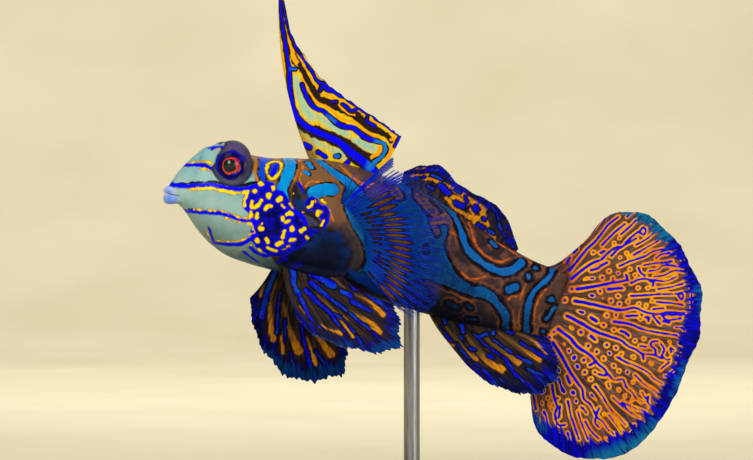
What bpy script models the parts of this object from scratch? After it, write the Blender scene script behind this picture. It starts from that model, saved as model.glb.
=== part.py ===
"""A life-size mandarinfish, swimming, on a rod and a flat base.

The fish is drawn along a midline that runs from its lips to the root of its tail fin. A place on it is
a station, in millimetres from the lips along that line, and an angle round the section there, 0 at the
back, 90 on the flank and 180 at the belly. The head is towards -X and the left flank faces -Y.
Everything is worked out in millimetres, and each finished mesh is turned to metres.
"""

import math

import bmesh
import bpy
import numpy as np
from mathutils import Matrix

METRES_IN_MM = 0.001
GAP = 0.3  # between pieces that touch

# The fish's length without the tail fin, and where its lips are over the middle of the base
BODY_LENGTH = 55.4
LIPS_X = -28.9
LIPS_HEIGHT = 42.5

# The pose: the fish swims nose up, and turns its head a little out of the plane of its flank
PITCH_HEAD = -9.0
PITCH_TAIL = -21.0
PITCH_BEND = (8.0, 38.0)
YAW_HEAD = 12.0
YAW_TAIL = -5.0
YAW_BEND = (10.0, 44.0)
STATION_IN_PLANE = 30.0

# Station, height above the midline, depth below it, half width, height of the widest place
SECTIONS = (
    (0.8, 1.0, 0.6, 0.9, 0.1),
    (1.3, 2.0, 0.8, 1.4, 0.2),
    (2.1, 3.4, 1.0, 2.1, 0.2),
    (3.0, 4.8, 1.5, 2.8, 0.1),
    (4.0, 6.1, 2.4, 3.5, -0.1),
    (5.5, 6.9, 4.0, 4.4, -0.6),
    (7.5, 7.1, 5.6, 5.2, -1.0),
    (10.0, 7.0, 6.9, 5.9, -1.4),
    (13.0, 7.0, 7.5, 6.5, -1.5),
    (16.5, 7.6, 7.8, 6.9, -1.3),
    (20.0, 8.2, 7.9, 7.0, -1.0),
    (27.0, 8.4, 8.1, 6.7, -0.4),
    (33.0, 8.1, 7.8, 5.9, 0.0),
    (38.0, 7.1, 7.4, 5.0, 0.0),
    (43.0, 6.1, 6.8, 4.0, 0.0),
    (48.0, 5.2, 5.9, 2.8, 0.0),
    (52.0, 4.8, 5.2, 1.9, 0.0),
    (55.4, 4.8, 4.6, 1.0, 0.0),
)
# Station, roundness of the back and of the belly: 2 is an ellipse, and more is squarer
ROUNDNESS = ((0.0, 2.0, 2.0), (10.0, 2.1, 2.5), (20.0, 2.1, 2.5), (34.0, 2.1, 2.1), (55.4, 1.9, 1.9))

# The cuts between head, trunk and tail, and how far they lean back at the belly
HEAD_END = 23.0
TRUNK_END = 38.8
LEAN = ((0.0, 0.0), (8.0, 0.0), (23.0, 0.6), (38.8, 0.0), (55.4, 0.0))
AROUND = 36

# The eyes stand up from the head in round bulges, with a lower brow in front of each
EYE_STATION = 8.5
EYE_HEIGHT = 5.3
EYE_ASIDE = 3.3
BULGE_RADIUS = 2.75
BROW = (6.3, 5.2, 2.3)  # station, height and distance aside
BROW_RADII = (2.5, 2.1, 2.35)
EYE_RADIUS = 1.8
EYE_OUT = 1.3
EYE_LOOK = (-0.38, 0.9, -0.2)  # tailward, outward and up
LID_OUT = 0.75
LID_RADIUS = 2.0
LID_THICKNESS = 0.3

# Lips, nostrils, gill openings and the spine on each gill cover
LIP_STATION = 1.9
LIP_REACH = 1.2
LIP_HALF_WIDTH = 1.5
UPPER_LIP = (0.55, 0.62)  # height of its middle, and its radius
LOWER_LIP = (-0.75, 0.66)
MOUTH_HEIGHT = -0.1
MOUTH_SLIT = 0.3
NOSTRIL = (6.4, 34.0)  # station and angle
NOSTRIL_RADIUS = 0.3
NOSTRIL_PIT_RADIUS = 0.14
GILL_OPENING = (18.3, 62.0)
GILL_HALF_LENGTH = 1.1
GILL_HALF_WIDTH = 0.28
CHEEK_SPINE = (18.4, 88.0)
CHEEK_SPINE_LENGTH = 3.4
CHEEK_SPINE_RADIUS = 0.5

# Fins: membrane and rays
MEMBRANE = 0.5
RAY_RIDGE = 0.34
MARGIN = 0.34

# Ray by ray: station of its root, length, angle up from the tailward direction
FIRST_DORSAL = (
    (18.4, 24.9, 111.0),
    (19.4, 17.3, 114.0),
    (20.4, 14.2, 114.0),
    (21.4, 11.8, 113.5),
    (22.6, 9.8, 109.5),
    (23.9, 8.1, 101.0),
    (25.1, 7.0, 85.0),
    (26.4, 6.3, 67.0),
)
# How far the first and last of these spines bow towards the head, as a share of their length
FIRST_DORSAL_BOW = (0.09, 0.0)
SECOND_DORSAL = (
    (30.6, 4.4, 62.0),
    (32.6, 4.5, 61.0),
    (34.6, 4.2, 67.0),
    (36.8, 3.2, 65.0),
    (39.2, 4.0, 69.0),
    (41.6, 4.4, 69.0),
    (44.0, 3.8, 68.0),
    (46.4, 1.8, 2.0),
)
ANAL = (
    (39.9, 8.8, -28.0),
    (41.7, 10.9, -30.5),
    (43.6, 12.4, -28.5),
    (45.5, 13.2, -25.5),
    (47.4, 12.5, -19.0),
    (49.2, 11.0, -11.5),
    (50.9, 7.9, 0.5),
    (52.4, 4.7, 14.0),
)
# Share of the stalk's height, length and angle
CAUDAL = (
    (0.98, 12.1, 66.5),
    (0.78, 15.7, 52.5),
    (0.57, 17.6, 38.0),
    (0.35, 19.7, 22.0),
    (0.12, 19.9, 8.0),
    (-0.12, 20.3, -10.5),
    (-0.35, 19.7, -30.0),
    (-0.57, 19.2, -48.5),
    (-0.78, 15.2, -63.0),
    (-0.98, 9.1, -77.0),
)
# How far the two fins swing to the right from their first ray to their last, to pass each other
ANAL_SWING = (-3.0, -15.0)
CAUDAL_SWING = (0.0, 7.0)
# Station and section angle of the root, length, angle, and how far it stands out from the flank
PECTORAL = (
    (23.6, 68.0, 9.7, 58.5, 24.0),
    (24.6, 74.0, 12.2, 44.0, 24.0),
    (25.5, 81.0, 14.3, 26.0, 23.0),
    (26.4, 89.0, 14.3, 13.0, 22.0),
    (27.2, 97.0, 13.6, 0.0, 21.0),
    (27.9, 105.0, 12.9, -13.0, 21.0),
    (28.5, 113.0, 10.7, -29.0, 20.0),
)
PELVIC_LEFT = (
    (17.6, 148.0, 6.7, -64.0, 22.0),
    (18.6, 147.0, 10.0, -55.5, 23.0),
    (19.8, 146.0, 12.3, -45.0, 24.0),
    (21.2, 145.0, 14.6, -35.5, 24.0),
    (22.8, 144.0, 14.9, -22.0, 22.0),
    (24.6, 143.0, 11.0, -11.0, 18.0),
)
PELVIC_RIGHT = (
    (17.6, 148.0, 5.3, -114.0, 26.0),
    (18.6, 147.0, 9.0, -100.0, 26.0),
    (19.8, 146.0, 13.2, -86.0, 25.0),
    (21.2, 145.0, 16.6, -71.5, 24.0),
    (22.8, 144.0, 16.1, -55.0, 22.0),
    (24.6, 143.0, 11.5, -51.0, 20.0),
)

# The stand
BASE_SIZE = (50.0, 34.0, 4.0)
BASE_CORNER = 8.0
BASE_BEVEL = 0.8
ROD_X = 4.8
ROD_RADIUS = 1.1
COLLAR_RADIUS = 2.3
COLLAR_HEIGHT = 1.2
ROD_SIDES = 20


def smooth(at, known, values):
    """Values at any place, on a smooth curve through the known ones that doesn't overshoot them."""
    at = np.asarray(at, float)
    known = np.asarray(known, float)
    values = np.asarray(values, float)
    steps = np.diff(known)
    spare = (1,) * (values.ndim - 1)
    steps = steps.reshape((-1, *spare))
    slopes = np.diff(values, axis=0) / steps
    tangents = np.concatenate([slopes[:1], (slopes[:-1] + slopes[1:]) / 2, slopes[-1:]])
    flat = slopes[:-1] * slopes[1:] <= 0
    tangents[1:-1][flat] = 0
    i = np.clip(np.searchsorted(known, at, side="right") - 1, 0, len(known) - 2)
    share = np.asarray((at - known[i]) / np.diff(known)[i]).reshape((*at.shape, *spare))
    step = steps[i]
    rise = 3 * share**2 - 2 * share**3
    ease_in = share**3 - 2 * share**2 + share
    ease_out = share**3 - share**2
    return (1 - rise) * values[i] + rise * values[i + 1] + step * (
        ease_in * tangents[i] + ease_out * tangents[i + 1]
    )


def eased(at, bend, first, last):
    """A value that turns from first to last over the stations of a bend."""
    share = np.clip((np.asarray(at, float) - bend[0]) / (bend[1] - bend[0]), 0, 1)
    return first + (last - first) * share**2 * (3 - 2 * share)


def directions(station):
    """The tailward, rightward and upward directions of the fish at a station."""
    pitch = np.radians(eased(station, PITCH_BEND, PITCH_HEAD, PITCH_TAIL))
    yaw = np.radians(eased(station, YAW_BEND, YAW_HEAD, YAW_TAIL))
    tailward = np.stack([np.cos(yaw) * np.cos(pitch), np.sin(yaw) * np.cos(pitch), np.sin(pitch)], -1)
    rightward = np.stack([-np.sin(yaw), np.cos(yaw), np.zeros_like(yaw)], -1)
    return tailward, rightward, np.cross(tailward, rightward)


MIDLINE_STEP = 0.05
MIDLINE_STATIONS = np.arange(0, BODY_LENGTH + 2, MIDLINE_STEP)


def midline_points():
    steps = directions(MIDLINE_STATIONS)[0] * MIDLINE_STEP
    points = np.concatenate([np.zeros((1, 3)), np.cumsum(steps, 0)[:-1]])
    in_plane = points[int(STATION_IN_PLANE / MIDLINE_STEP), 1]
    return points + (LIPS_X, -in_plane, LIPS_HEIGHT)


MIDLINE = midline_points()


def midline(station):
    station = np.asarray(station, float)
    return np.stack([np.interp(station, MIDLINE_STATIONS, MIDLINE[:, k]) for k in range(3)], -1)


def section(station, angle):
    """How far right and how high from the midline the skin is, at an angle round a section."""
    rows = np.array(SECTIONS)
    above, below, half_width, widest = np.moveaxis(smooth(station, rows[:, 0], rows[:, 1:]), -1, 0)
    round_rows = np.array(ROUNDNESS)
    back, belly = np.moveaxis(smooth(station, round_rows[:, 0], round_rows[:, 1:]), -1, 0)
    turn = np.radians(angle)
    power = 2 / np.where(np.cos(turn) > 0, back, belly)
    aside = half_width * np.sign(np.sin(turn)) * np.abs(np.sin(turn)) ** power
    reach = np.where(np.cos(turn) > 0, above - widest, below + widest)
    height = widest + reach * np.sign(np.cos(turn)) * np.abs(np.cos(turn)) ** power
    return aside, height


def skin(station, angle, out=0.0):
    """A point of the skin, moved out from it. Angles over 180, or below 0, are on the left."""
    station, angle = np.broadcast_arrays(np.asarray(station, float), np.asarray(angle, float))

    def point(at, turn):
        aside, height = section(at, turn)
        _, rightward, upward = directions(at)
        return midline(at) + rightward * aside[..., None] + upward * height[..., None]

    here = point(station, angle)
    if np.all(out == 0):
        return here
    along = point(station + 0.1, angle) - point(station - 0.1, angle)
    round_it = point(station, angle + 1) - point(station, angle - 1)
    normal = np.cross(along, round_it)
    normal /= np.linalg.norm(normal, axis=-1, keepdims=True)
    outward = here - midline(station)
    normal *= np.sign(np.sum(normal * outward, -1, keepdims=True))
    return here + normal * np.asarray(out, float)[..., None]


def material(name, colour, roughness, metallic=0.0):
    made = bpy.data.materials.new(name)
    made.use_nodes = True
    shader = made.node_tree.nodes["Principled BSDF"]
    shader.inputs["Base Color"].default_value = (*colour, 1)
    shader.inputs["Roughness"].default_value = roughness
    shader.inputs["Metallic"].default_value = metallic
    return made


def object_of(name, points, faces, finish=None):
    """An object in millimetres, from points and faces."""
    mesh = bpy.data.meshes.new(name)
    mesh.from_pydata(np.asarray(points, float).tolist(), [], faces)
    mesh.validate()
    shape = bmesh.new()
    shape.from_mesh(mesh)
    bmesh.ops.recalc_face_normals(shape, faces=shape.faces)
    shape.to_mesh(mesh)
    shape.free()
    made = bpy.data.objects.new(name, mesh)
    bpy.context.scene.collection.objects.link(made)
    if finish:
        mesh.materials.append(finish)
    return made


def finished(made, sharp_angle=40.0):
    """Turns a whole node to metres, puts its origin at its middle and shades it smooth."""
    corners = np.array(made.bound_box)
    middle = (corners.min(0) + corners.max(0)) / 2 * METRES_IN_MM
    made.data.transform(Matrix.Translation(-middle) @ Matrix.Scale(METRES_IN_MM, 4))
    made.location = middle
    made.data.shade_smooth()
    made.data.set_sharp_from_angle(angle=math.radians(sharp_angle))
    return made


def length_of_body(name, first, last, rings, finish, tip=False):
    """One length of the body between two leaning cuts, closed by a fan of triangles at each end."""
    stations = np.linspace(first, last, rings)
    if tip:
        stations = first + (last - first) * np.linspace(0, 1, rings) ** 1.6
    angles = np.arange(AROUND) * 360 / AROUND
    lean = np.array(LEAN)
    points = []
    for at in stations:
        height = section(np.full(AROUND, at), angles)[1]
        leaned = at - smooth(at, lean[:, 0], lean[:, 1]) * height
        points.extend(skin(leaned, angles))
    faces = []
    for ring in range(rings - 1):
        for i in range(AROUND):
            j = (i + 1) % AROUND
            a, b = ring * AROUND, (ring + 1) * AROUND
            faces.append((a + i, a + j, b + j))
            faces.append((a + i, b + j, b + i))
    for start in (0, (rings - 1) * AROUND):
        ends = np.array(points[start : start + AROUND])
        points.append(ends.mean(0))
        faces.extend((start + i, start + (i + 1) % AROUND, len(points) - 1) for i in range(AROUND))
    return object_of(name, points, faces, finish)


def ball(name, centre, radii, across=24, down=14, frame=None):
    """An ellipsoid whose radii run along the three directions of a frame."""
    shape = bmesh.new()
    bmesh.ops.create_uvsphere(shape, u_segments=across, v_segments=down, radius=1)
    turned = np.eye(3) if frame is None else np.array(frame)
    points = [centre + (np.array(v.co) * radii) @ turned for v in shape.verts]
    faces = [[v.index for v in face.verts] for face in shape.faces]
    shape.free()
    return object_of(name, points, faces)


def tube(name, path, radii, sides=8):
    """A closed tube along a path, with a radius at each of its points."""
    path = np.asarray(path, float)
    ahead = np.gradient(path, axis=0)
    ahead /= np.linalg.norm(ahead, axis=1, keepdims=True)
    start = np.cross(ahead[0], (0.1, 0.2, 1.0))
    points, faces = [], []
    for place, way, radius in zip(path, ahead, radii):
        first = start - way * np.dot(start, way)
        first /= np.linalg.norm(first)
        second = np.cross(way, first)
        for turn in np.arange(sides) * 2 * math.pi / sides:
            points.append(place + radius * (math.cos(turn) * first + math.sin(turn) * second))
    for ring in range(len(path) - 1):
        for i in range(sides):
            j = (i + 1) % sides
            a, b = ring * sides, (ring + 1) * sides
            faces.append((a + i, a + j, b + j, b + i))
    faces.append(tuple(range(sides)))
    faces.append(tuple(range(len(points) - sides, len(points))))
    return object_of(name, points, faces)


def combine(target, pieces, operation):
    """Joins the pieces to the target, or cuts them from it, and keeps its largest closed surface."""
    group = bpy.data.collections.new("pieces")
    bpy.context.scene.collection.children.link(group)
    for piece in pieces:
        bpy.context.scene.collection.objects.unlink(piece)
        group.objects.link(piece)
    boolean = target.modifiers.new("combine", "BOOLEAN")
    boolean.operation = operation
    boolean.operand_type = "COLLECTION"
    boolean.collection = group
    boolean.solver = "EXACT"
    bpy.context.view_layer.update()
    graph = bpy.context.evaluated_depsgraph_get()
    result = bpy.data.meshes.new_from_object(target.evaluated_get(graph))
    target.modifiers.remove(boolean)
    target.data = result
    for piece in pieces:
        bpy.data.objects.remove(piece)
    bpy.data.collections.remove(group)
    keep_largest(result)


def keep_largest(mesh):
    shape = bmesh.new()
    shape.from_mesh(mesh)
    bmesh.ops.triangulate(shape, faces=shape.faces)
    left = set(shape.faces)
    islands = []
    while left:
        island, edge = set(), [left.pop()]
        while edge:
            face = edge.pop()
            island.add(face)
            for side in face.edges:
                for other in side.link_faces:
                    if other in left:
                        left.remove(other)
                        edge.append(other)
        islands.append(island)
    largest = max(islands, key=lambda island: sum(face.calc_area() for face in island))
    bmesh.ops.delete(shape, geom=[f for f in shape.faces if f not in largest], context="FACES")
    shape.to_mesh(mesh)
    shape.free()


def bulge_centre(side):
    _, rightward, upward = directions(EYE_STATION)
    return midline(EYE_STATION) + side * EYE_ASIDE * rightward + EYE_HEIGHT * upward


def eye_look(side):
    """The direction in which an eye looks."""
    tailward, rightward, upward = directions(EYE_STATION)
    look = EYE_LOOK[0] * tailward + side * EYE_LOOK[1] * rightward + EYE_LOOK[2] * upward
    return look / np.linalg.norm(look)


def eye_place(side):
    """The centre of an eyeball, which looks out of its bulge."""
    return bulge_centre(side) + EYE_OUT * eye_look(side)


def brow(side):
    """The skin that slopes from the forehead up to an eye bulge."""
    station, height, aside = BROW
    frame = directions(station)
    centre = midline(station) + side * aside * frame[1] + height * frame[2]
    return ball("brow", centre, BROW_RADII, across=14, down=9, frame=frame)


def lid(side):
    """The raised rim of skin round an eye, which takes the place of its lids."""
    look = eye_look(side)
    first = np.cross(look, (0.0, 0.0, 1.0))
    first /= np.linalg.norm(first)
    second = np.cross(look, first)
    centre = eye_place(side) + LID_OUT * look
    turned = Matrix(np.stack([first, second, look], 1).tolist())
    shape = bmesh.new()
    bmesh.ops.create_circle(shape, segments=20, radius=LID_RADIUS)
    ring = [np.array(turned @ v.co) + centre for v in shape.verts]
    shape.free()
    points, faces = [], []
    sides = 6
    for place in ring:
        outward = (place - centre) / LID_RADIUS
        for turn in np.arange(sides) * 2 * math.pi / sides:
            points.append(place + LID_THICKNESS * (math.cos(turn) * outward + math.sin(turn) * look))
    for i in range(len(ring)):
        j = (i + 1) % len(ring)
        for k in range(sides):
            m = (k + 1) % sides
            faces.append((i * sides + k, j * sides + k, j * sides + m, i * sides + m))
    return object_of("lid", points, faces)


def lip(name, height, radius):
    """A lip is a soft roll that runs round the tip of the snout between the corners of the mouth."""
    tailward, rightward, upward = directions(LIP_STATION)
    turns = np.radians(np.linspace(-115, 115, 13))
    path = [
        midline(LIP_STATION)
        + tailward * (LIP_REACH * (0.25 - math.cos(turn)))
        + rightward * (LIP_HALF_WIDTH * math.sin(turn))
        + upward * height
        for turn in turns
    ]
    thinned = radius * (0.35 + 0.65 * np.cos(turns * 90 / 130))
    return tube(name, path, thinned)


def mouth_slit():
    tailward, rightward, upward = directions(LIP_STATION)
    centre = midline(LIP_STATION - 1.0) + upward * MOUTH_HEIGHT
    frame = (tailward, rightward, upward)
    return ball("mouth", centre, (2.5, 3.0, MOUTH_SLIT / 2), across=20, down=6, frame=frame)


def nostril_tube(side):
    station, angle = NOSTRIL
    root, top = skin(station, side * angle, -0.4), skin(station, side * angle, 0.35)
    return tube("nostril", [root, top], [NOSTRIL_RADIUS * 1.25, NOSTRIL_RADIUS])


def nostril_pit(side):
    station, angle = NOSTRIL
    bottom, mouth = skin(station, side * angle, -0.1), skin(station, side * angle, 0.6)
    return tube("pit", [bottom, mouth], [NOSTRIL_PIT_RADIUS] * 2, sides=6)


def gill_opening(side):
    """A short slit high on the shoulder, as in dragonets, in place of an open gill cover."""
    station, angle = GILL_OPENING
    centre = skin(station, side * angle)
    top, bottom = skin(station - 0.6, side * (angle - 8)), skin(station + 0.6, side * (angle + 8))
    along = (bottom - top) / np.linalg.norm(bottom - top)
    out = skin(station, side * angle, 1.0) - centre
    out -= along * np.dot(out, along)
    out /= np.linalg.norm(out)
    frame = (along, np.cross(out, along), out)
    radii = (GILL_HALF_LENGTH, GILL_HALF_WIDTH, 0.6)
    return ball("gill", centre, radii, across=12, down=8, frame=frame)


def cheek_spine(side):
    """The flat, skin-covered spine at the corner of the gill cover, which points back along the flank."""
    station, angle = CHEEK_SPINE
    shares = np.linspace(0, 1, 6)
    stations = station + CHEEK_SPINE_LENGTH * shares
    lift = -0.25 + 0.75 * shares
    path = skin(stations, np.full(6, side * angle) + side * 6 * shares, lift)
    return tube("spine", path, CHEEK_SPINE_RADIUS * (1.05 - 0.85 * shares))


def head(finish):
    made = length_of_body("head", SECTIONS[0][0], HEAD_END - GAP / 2, 17, finish, tip=True)
    added = [lip("upper_lip", *UPPER_LIP), lip("lower_lip", *LOWER_LIP)]
    cuts = [mouth_slit()]
    for side in (-1, 1):
        added.append(ball("bulge", bulge_centre(side), (BULGE_RADIUS,) * 3, across=20, down=12))
        added.append(brow(side))
        added.append(lid(side))
        added.append(nostril_tube(side))
        added.append(cheek_spine(side))
        socket = EYE_RADIUS + GAP
        cuts.append(ball("socket", eye_place(side), (socket,) * 3, across=16, down=9))
        cuts.append(nostril_pit(side))
        cuts.append(gill_opening(side))
    combine(made, added, "UNION")
    combine(made, cuts, "DIFFERENCE")
    return finished(made)


def eye(name, side, finish):
    made = ball(name, eye_place(side), (EYE_RADIUS,) * 3, across=18, down=10)
    made.data.materials.append(finish)
    return finished(made)


def fin_mesh(name, roots, bends, tips, rays, rows, finish, spacing=4, scallop=0.0, wave=(0, 1, 0)):
    """A fin between two smooth curves, one through the roots and one through the tips of its guide rays.

    Both faces are one grid of triangles. They stand apart by the membrane's thickness and more along
    each ray, which is a ridge from root to margin on both faces. Between rays the margin is scalloped.
    """
    columns = (rays - 1) * spacing + 1
    across = np.linspace(0, 1, columns)
    guides = np.linspace(0, 1, len(roots))
    root = smooth(across, guides, roots)[:, None]
    bend = smooth(across, guides, bends)[:, None]
    tip = smooth(across, guides, tips)[:, None]
    from_ray = np.abs((across * (rays - 1) + 0.5) % 1 - 0.5)
    crest = np.clip(1 - 0.65 * spacing * from_ray, 0, 1)[:, None]
    out = np.linspace(0, 1, rows)[None, :]
    out = out * (1 - scallop * np.clip(2 * from_ray, 0, 1)[:, None] * out)
    part = out[..., None]
    middle = (1 - part) ** 2 * root + 2 * part * (1 - part) * bend + part**2 * tip
    normal = np.cross(np.gradient(middle, axis=0), np.gradient(middle, axis=1))
    normal /= np.linalg.norm(normal, axis=2, keepdims=True)
    size, count, start = wave
    ripple = size * out**1.5 * np.sin(2 * math.pi * (count * across[:, None] + start))
    middle = middle + normal * ripple[..., None]
    half = (MEMBRANE / 2 + RAY_RIDGE / 2 * crest) * (1 - out) + out * (MARGIN / 2 + 0.1 * crest)
    half = np.maximum(half, (MEMBRANE / 2) * (out < 0.9))
    front = (middle + normal * half[..., None]).reshape(-1, 3)
    rear = (middle - normal * half[..., None]).reshape(-1, 3)
    count_one = len(front)
    faces = []

    def cell(i, j):
        return i * rows + j

    for i in range(columns - 1):
        for j in range(rows - 1):
            a, b, c, d = cell(i, j), cell(i + 1, j), cell(i + 1, j + 1), cell(i, j + 1)
            for corners in ((a, b, c), (a, c, d)):
                faces.append(corners)
                faces.append(tuple(count_one + k for k in reversed(corners)))
    rim = [cell(i, 0) for i in range(columns)]
    rim += [cell(columns - 1, j) for j in range(1, rows)]
    rim += [cell(i, rows - 1) for i in range(columns - 2, -1, -1)]
    rim += [cell(0, j) for j in range(rows - 2, 0, -1)]
    for a, b in zip(rim, rim[1:] + rim[:1]):
        faces.append((b, a, count_one + a))
        faces.append((b, count_one + a, count_one + b))
    return finished(object_of(name, np.concatenate([front, rear]), faces, finish), 60.0)


def ray_directions(stations, angles, outward, flare):
    """Directions at an angle up from tailward, turned out from the flank by flare."""
    tailward, _, upward = directions(stations)
    turn, out = np.radians(angles)[:, None], np.radians(flare)[:, None]
    level = np.cos(turn) * tailward + np.sin(turn) * upward
    return np.cos(out) * level + np.sin(out) * outward


def median_fin(name, table, angle, rays, rows, finish, bow=(0.0, 0.0), swing=(0.0, 0.0), **more):
    """A fin on the line of the back (angle 0) or of the belly (angle 180), swung to the right."""
    stations, lengths, turns = np.array(table).T
    roots = skin(stations, angle, GAP)
    _, rightward, _ = directions(stations)
    ways = ray_directions(stations, turns, rightward, np.linspace(*swing, len(stations)))
    tips = roots + ways * lengths[:, None]
    headward = -directions(stations)[0]
    bowed = np.linspace(*bow, len(stations)) * lengths
    bends = roots + (tips - roots) * 0.4 + headward * bowed[:, None]
    return fin_mesh(name, roots, bends, tips, rays, rows, finish, **more)


def paired_fin(name, side, table, rays, rows, finish, rise=1.6, **more):
    """A fin on one flank. It leaves the skin squarely, and then sweeps back."""
    stations, angles, lengths, turns, flare = np.array(table).T
    roots = skin(stations, side * angles, GAP)
    squarely = skin(stations, side * angles, 1.0) - skin(stations, side * angles)
    _, rightward, _ = directions(stations)
    ways = ray_directions(stations, turns, side * rightward, flare)
    tips = roots + squarely * rise * 0.5 + ways * lengths[:, None]
    bends = roots + squarely * rise + ways * lengths[:, None] * 0.22
    return fin_mesh(name, roots, bends, tips, rays, rows, finish, **more)


def tail_fin(finish):
    """The fan of the tail fin stands on the flat end of the stalk."""
    shares, lengths, turns = np.array(CAUDAL).T
    rows = np.array(SECTIONS)
    above, below = rows[-1, 1], rows[-1, 2]
    tailward, rightward, upward = directions(BODY_LENGTH)
    end = midline(BODY_LENGTH) + tailward * GAP
    heights = np.where(shares > 0, shares * above, shares * below)
    roots = end + upward * heights[:, None]
    stations = np.full(len(shares), BODY_LENGTH)
    ways = ray_directions(stations, turns, rightward, np.linspace(*CAUDAL_SWING, len(shares)))
    tips = roots + ways * lengths[:, None]
    bends = (roots + tips) / 2 + tailward * 0.6
    return fin_mesh("caudal_fin", roots, bends, tips, 10, 12, finish, scallop=0.02, wave=(0.7, 1.6, 0.1))


def fins(first_dorsal_finish, finish, clear_finish):
    more = {"spacing": 7, "bow": FIRST_DORSAL_BOW}
    median_fin("dorsal_fin_first", FIRST_DORSAL, 0, 4, 15, first_dorsal_finish, **more)
    more = {"scallop": 0.03, "wave": (0.6, 1.7, 0.2)}
    median_fin("dorsal_fin_second", SECOND_DORSAL, 0, 9, 7, finish, **more)
    more = {"swing": ANAL_SWING, "scallop": 0.03, "wave": (0.3, 1.5, 0.6)}
    median_fin("anal_fin", ANAL, 180, 8, 10, finish, **more)
    tail_fin(finish)
    for word, side in (("left", -1), ("right", 1)):
        more = {"spacing": 3, "scallop": 0.02}
        paired_fin(f"pectoral_fin_{word}", side, PECTORAL, 17, 8, clear_finish, **more)
    for word, side, table in (("left", -1, PELVIC_LEFT), ("right", 1, PELVIC_RIGHT)):
        more = {"scallop": 0.03, "wave": (0.45, 1.5, 0.25)}
        paired_fin(f"pelvic_fin_{word}", side, table, 7, 10, finish, **more)


def stand(wood, steel):
    """A flat base with round corners, and a rod with a collar whose top follows the belly."""
    shape = bmesh.new()
    bmesh.ops.create_cube(shape, size=1)
    length, width, height = BASE_SIZE
    for v in shape.verts:
        v.co = (v.co.x * length, v.co.y * width, (v.co.z + 0.5) * height)
    upright = [e for e in shape.edges if abs(e.verts[0].co.z - e.verts[1].co.z) > height / 2]
    bmesh.ops.bevel(shape, geom=upright, offset=BASE_CORNER, segments=6, profile=0.5, affect="EDGES")
    rim = [e for e in shape.edges if min(v.co.z for v in e.verts) > height - 0.01]
    bmesh.ops.bevel(shape, geom=rim, offset=BASE_BEVEL, segments=2, profile=0.5, affect="EDGES")
    bmesh.ops.triangulate(shape, faces=shape.faces)
    mesh = bpy.data.meshes.new("stand_base")
    shape.to_mesh(mesh)
    shape.free()
    mesh.materials.append(wood)
    base = bpy.data.objects.new("stand_base", mesh)
    bpy.context.scene.collection.objects.link(base)
    finished(base, 50.0)

    foot = height + GAP
    middle = foot + COLLAR_HEIGHT
    profile = [(COLLAR_RADIUS, foot), (COLLAR_RADIUS, middle - 0.3), (COLLAR_RADIUS - 0.3, middle)]
    profile += [(ROD_RADIUS, middle)]
    turns = np.arange(ROD_SIDES) * 2 * math.pi / ROD_SIDES
    points = [
        (ROD_X + r * math.cos(turn), r * math.sin(turn), z) for r, z in profile for turn in turns
    ]
    top = [(ROD_X + ROD_RADIUS * math.cos(t), ROD_RADIUS * math.sin(t)) for t in turns]
    points += [(x, y, belly_height(x, y) - GAP) for x, y in top]
    rings = len(profile) + 1
    faces = []
    for ring in range(rings - 1):
        for i in range(ROD_SIDES):
            j = (i + 1) % ROD_SIDES
            a, b = ring * ROD_SIDES, (ring + 1) * ROD_SIDES
            faces.append((a + i, a + j, b + j, b + i))
    faces.append(tuple(reversed(range(ROD_SIDES))))
    points.append((ROD_X, 0, belly_height(ROD_X, 0) - GAP))
    last = (rings - 1) * ROD_SIDES
    faces.extend((last + i, last + (i + 1) % ROD_SIDES, len(points) - 1) for i in range(ROD_SIDES))
    finished(object_of("stand_rod", points, faces, steel))


def belly_height(x, y):
    """The height of the underside of the trunk over a place."""
    stations, angles = np.meshgrid(np.linspace(28, 42, 141), np.linspace(150, 210, 61))
    points = skin(stations, angles).reshape(-1, 3)
    near = np.argsort(np.hypot(points[:, 0] - x, points[:, 1] - y))[:4]
    return float(points[near, 2].mean())


def main():
    for item in list(bpy.data.objects):
        bpy.data.objects.remove(item)
    skin_finish = material("fish_skin", (0.16, 0.10, 0.06), 0.35)
    face_finish = material("face_skin", (0.30, 0.42, 0.36), 0.35)
    fin_finish = material("fin_membrane", (0.02, 0.03, 0.35), 0.4)
    sail_finish = material("dorsal_sail", (0.75, 0.45, 0.05), 0.4)
    clear_finish = material("pectoral_membrane", (0.02, 0.10, 0.50), 0.35)
    eye_finish = material("eye", (0.45, 0.02, 0.02), 0.1)
    wood = material("stand_wood", (0.05, 0.03, 0.02), 0.45)
    steel = material("stand_steel", (0.60, 0.60, 0.62), 0.3, metallic=1.0)

    head(face_finish)
    finished(length_of_body("trunk", HEAD_END + GAP / 2, TRUNK_END - GAP / 2, 16, skin_finish))
    finished(length_of_body("tail", TRUNK_END + GAP / 2, BODY_LENGTH, 14, skin_finish))
    eye("eye_left", -1, eye_finish)
    eye("eye_right", 1, eye_finish)
    fins(sail_finish, fin_finish, clear_finish)
    stand(wood, steel)

    whole = bpy.data.objects.new("mandarinfish_on_stand", None)
    bpy.context.scene.collection.objects.link(whole)
    for item in bpy.data.objects:
        if item != whole:
            item.parent = whole


main()
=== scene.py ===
"""A mandarinfish at life size, swimming nose up on a rod and a flat base.

Sizes are in millimetres until a mesh is finished, which turns it to metres. A place on the body is a
station, counted from the lips along the midline, and an angle round it, 0 at the back, 90 on the flank
and 180 at the belly. Markings are strokes whose points were read off the photo, in its pixels.
"""

import math

import bpy
import numpy as np
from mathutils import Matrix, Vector
from mathutils.bvhtree import BVHTree


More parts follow.
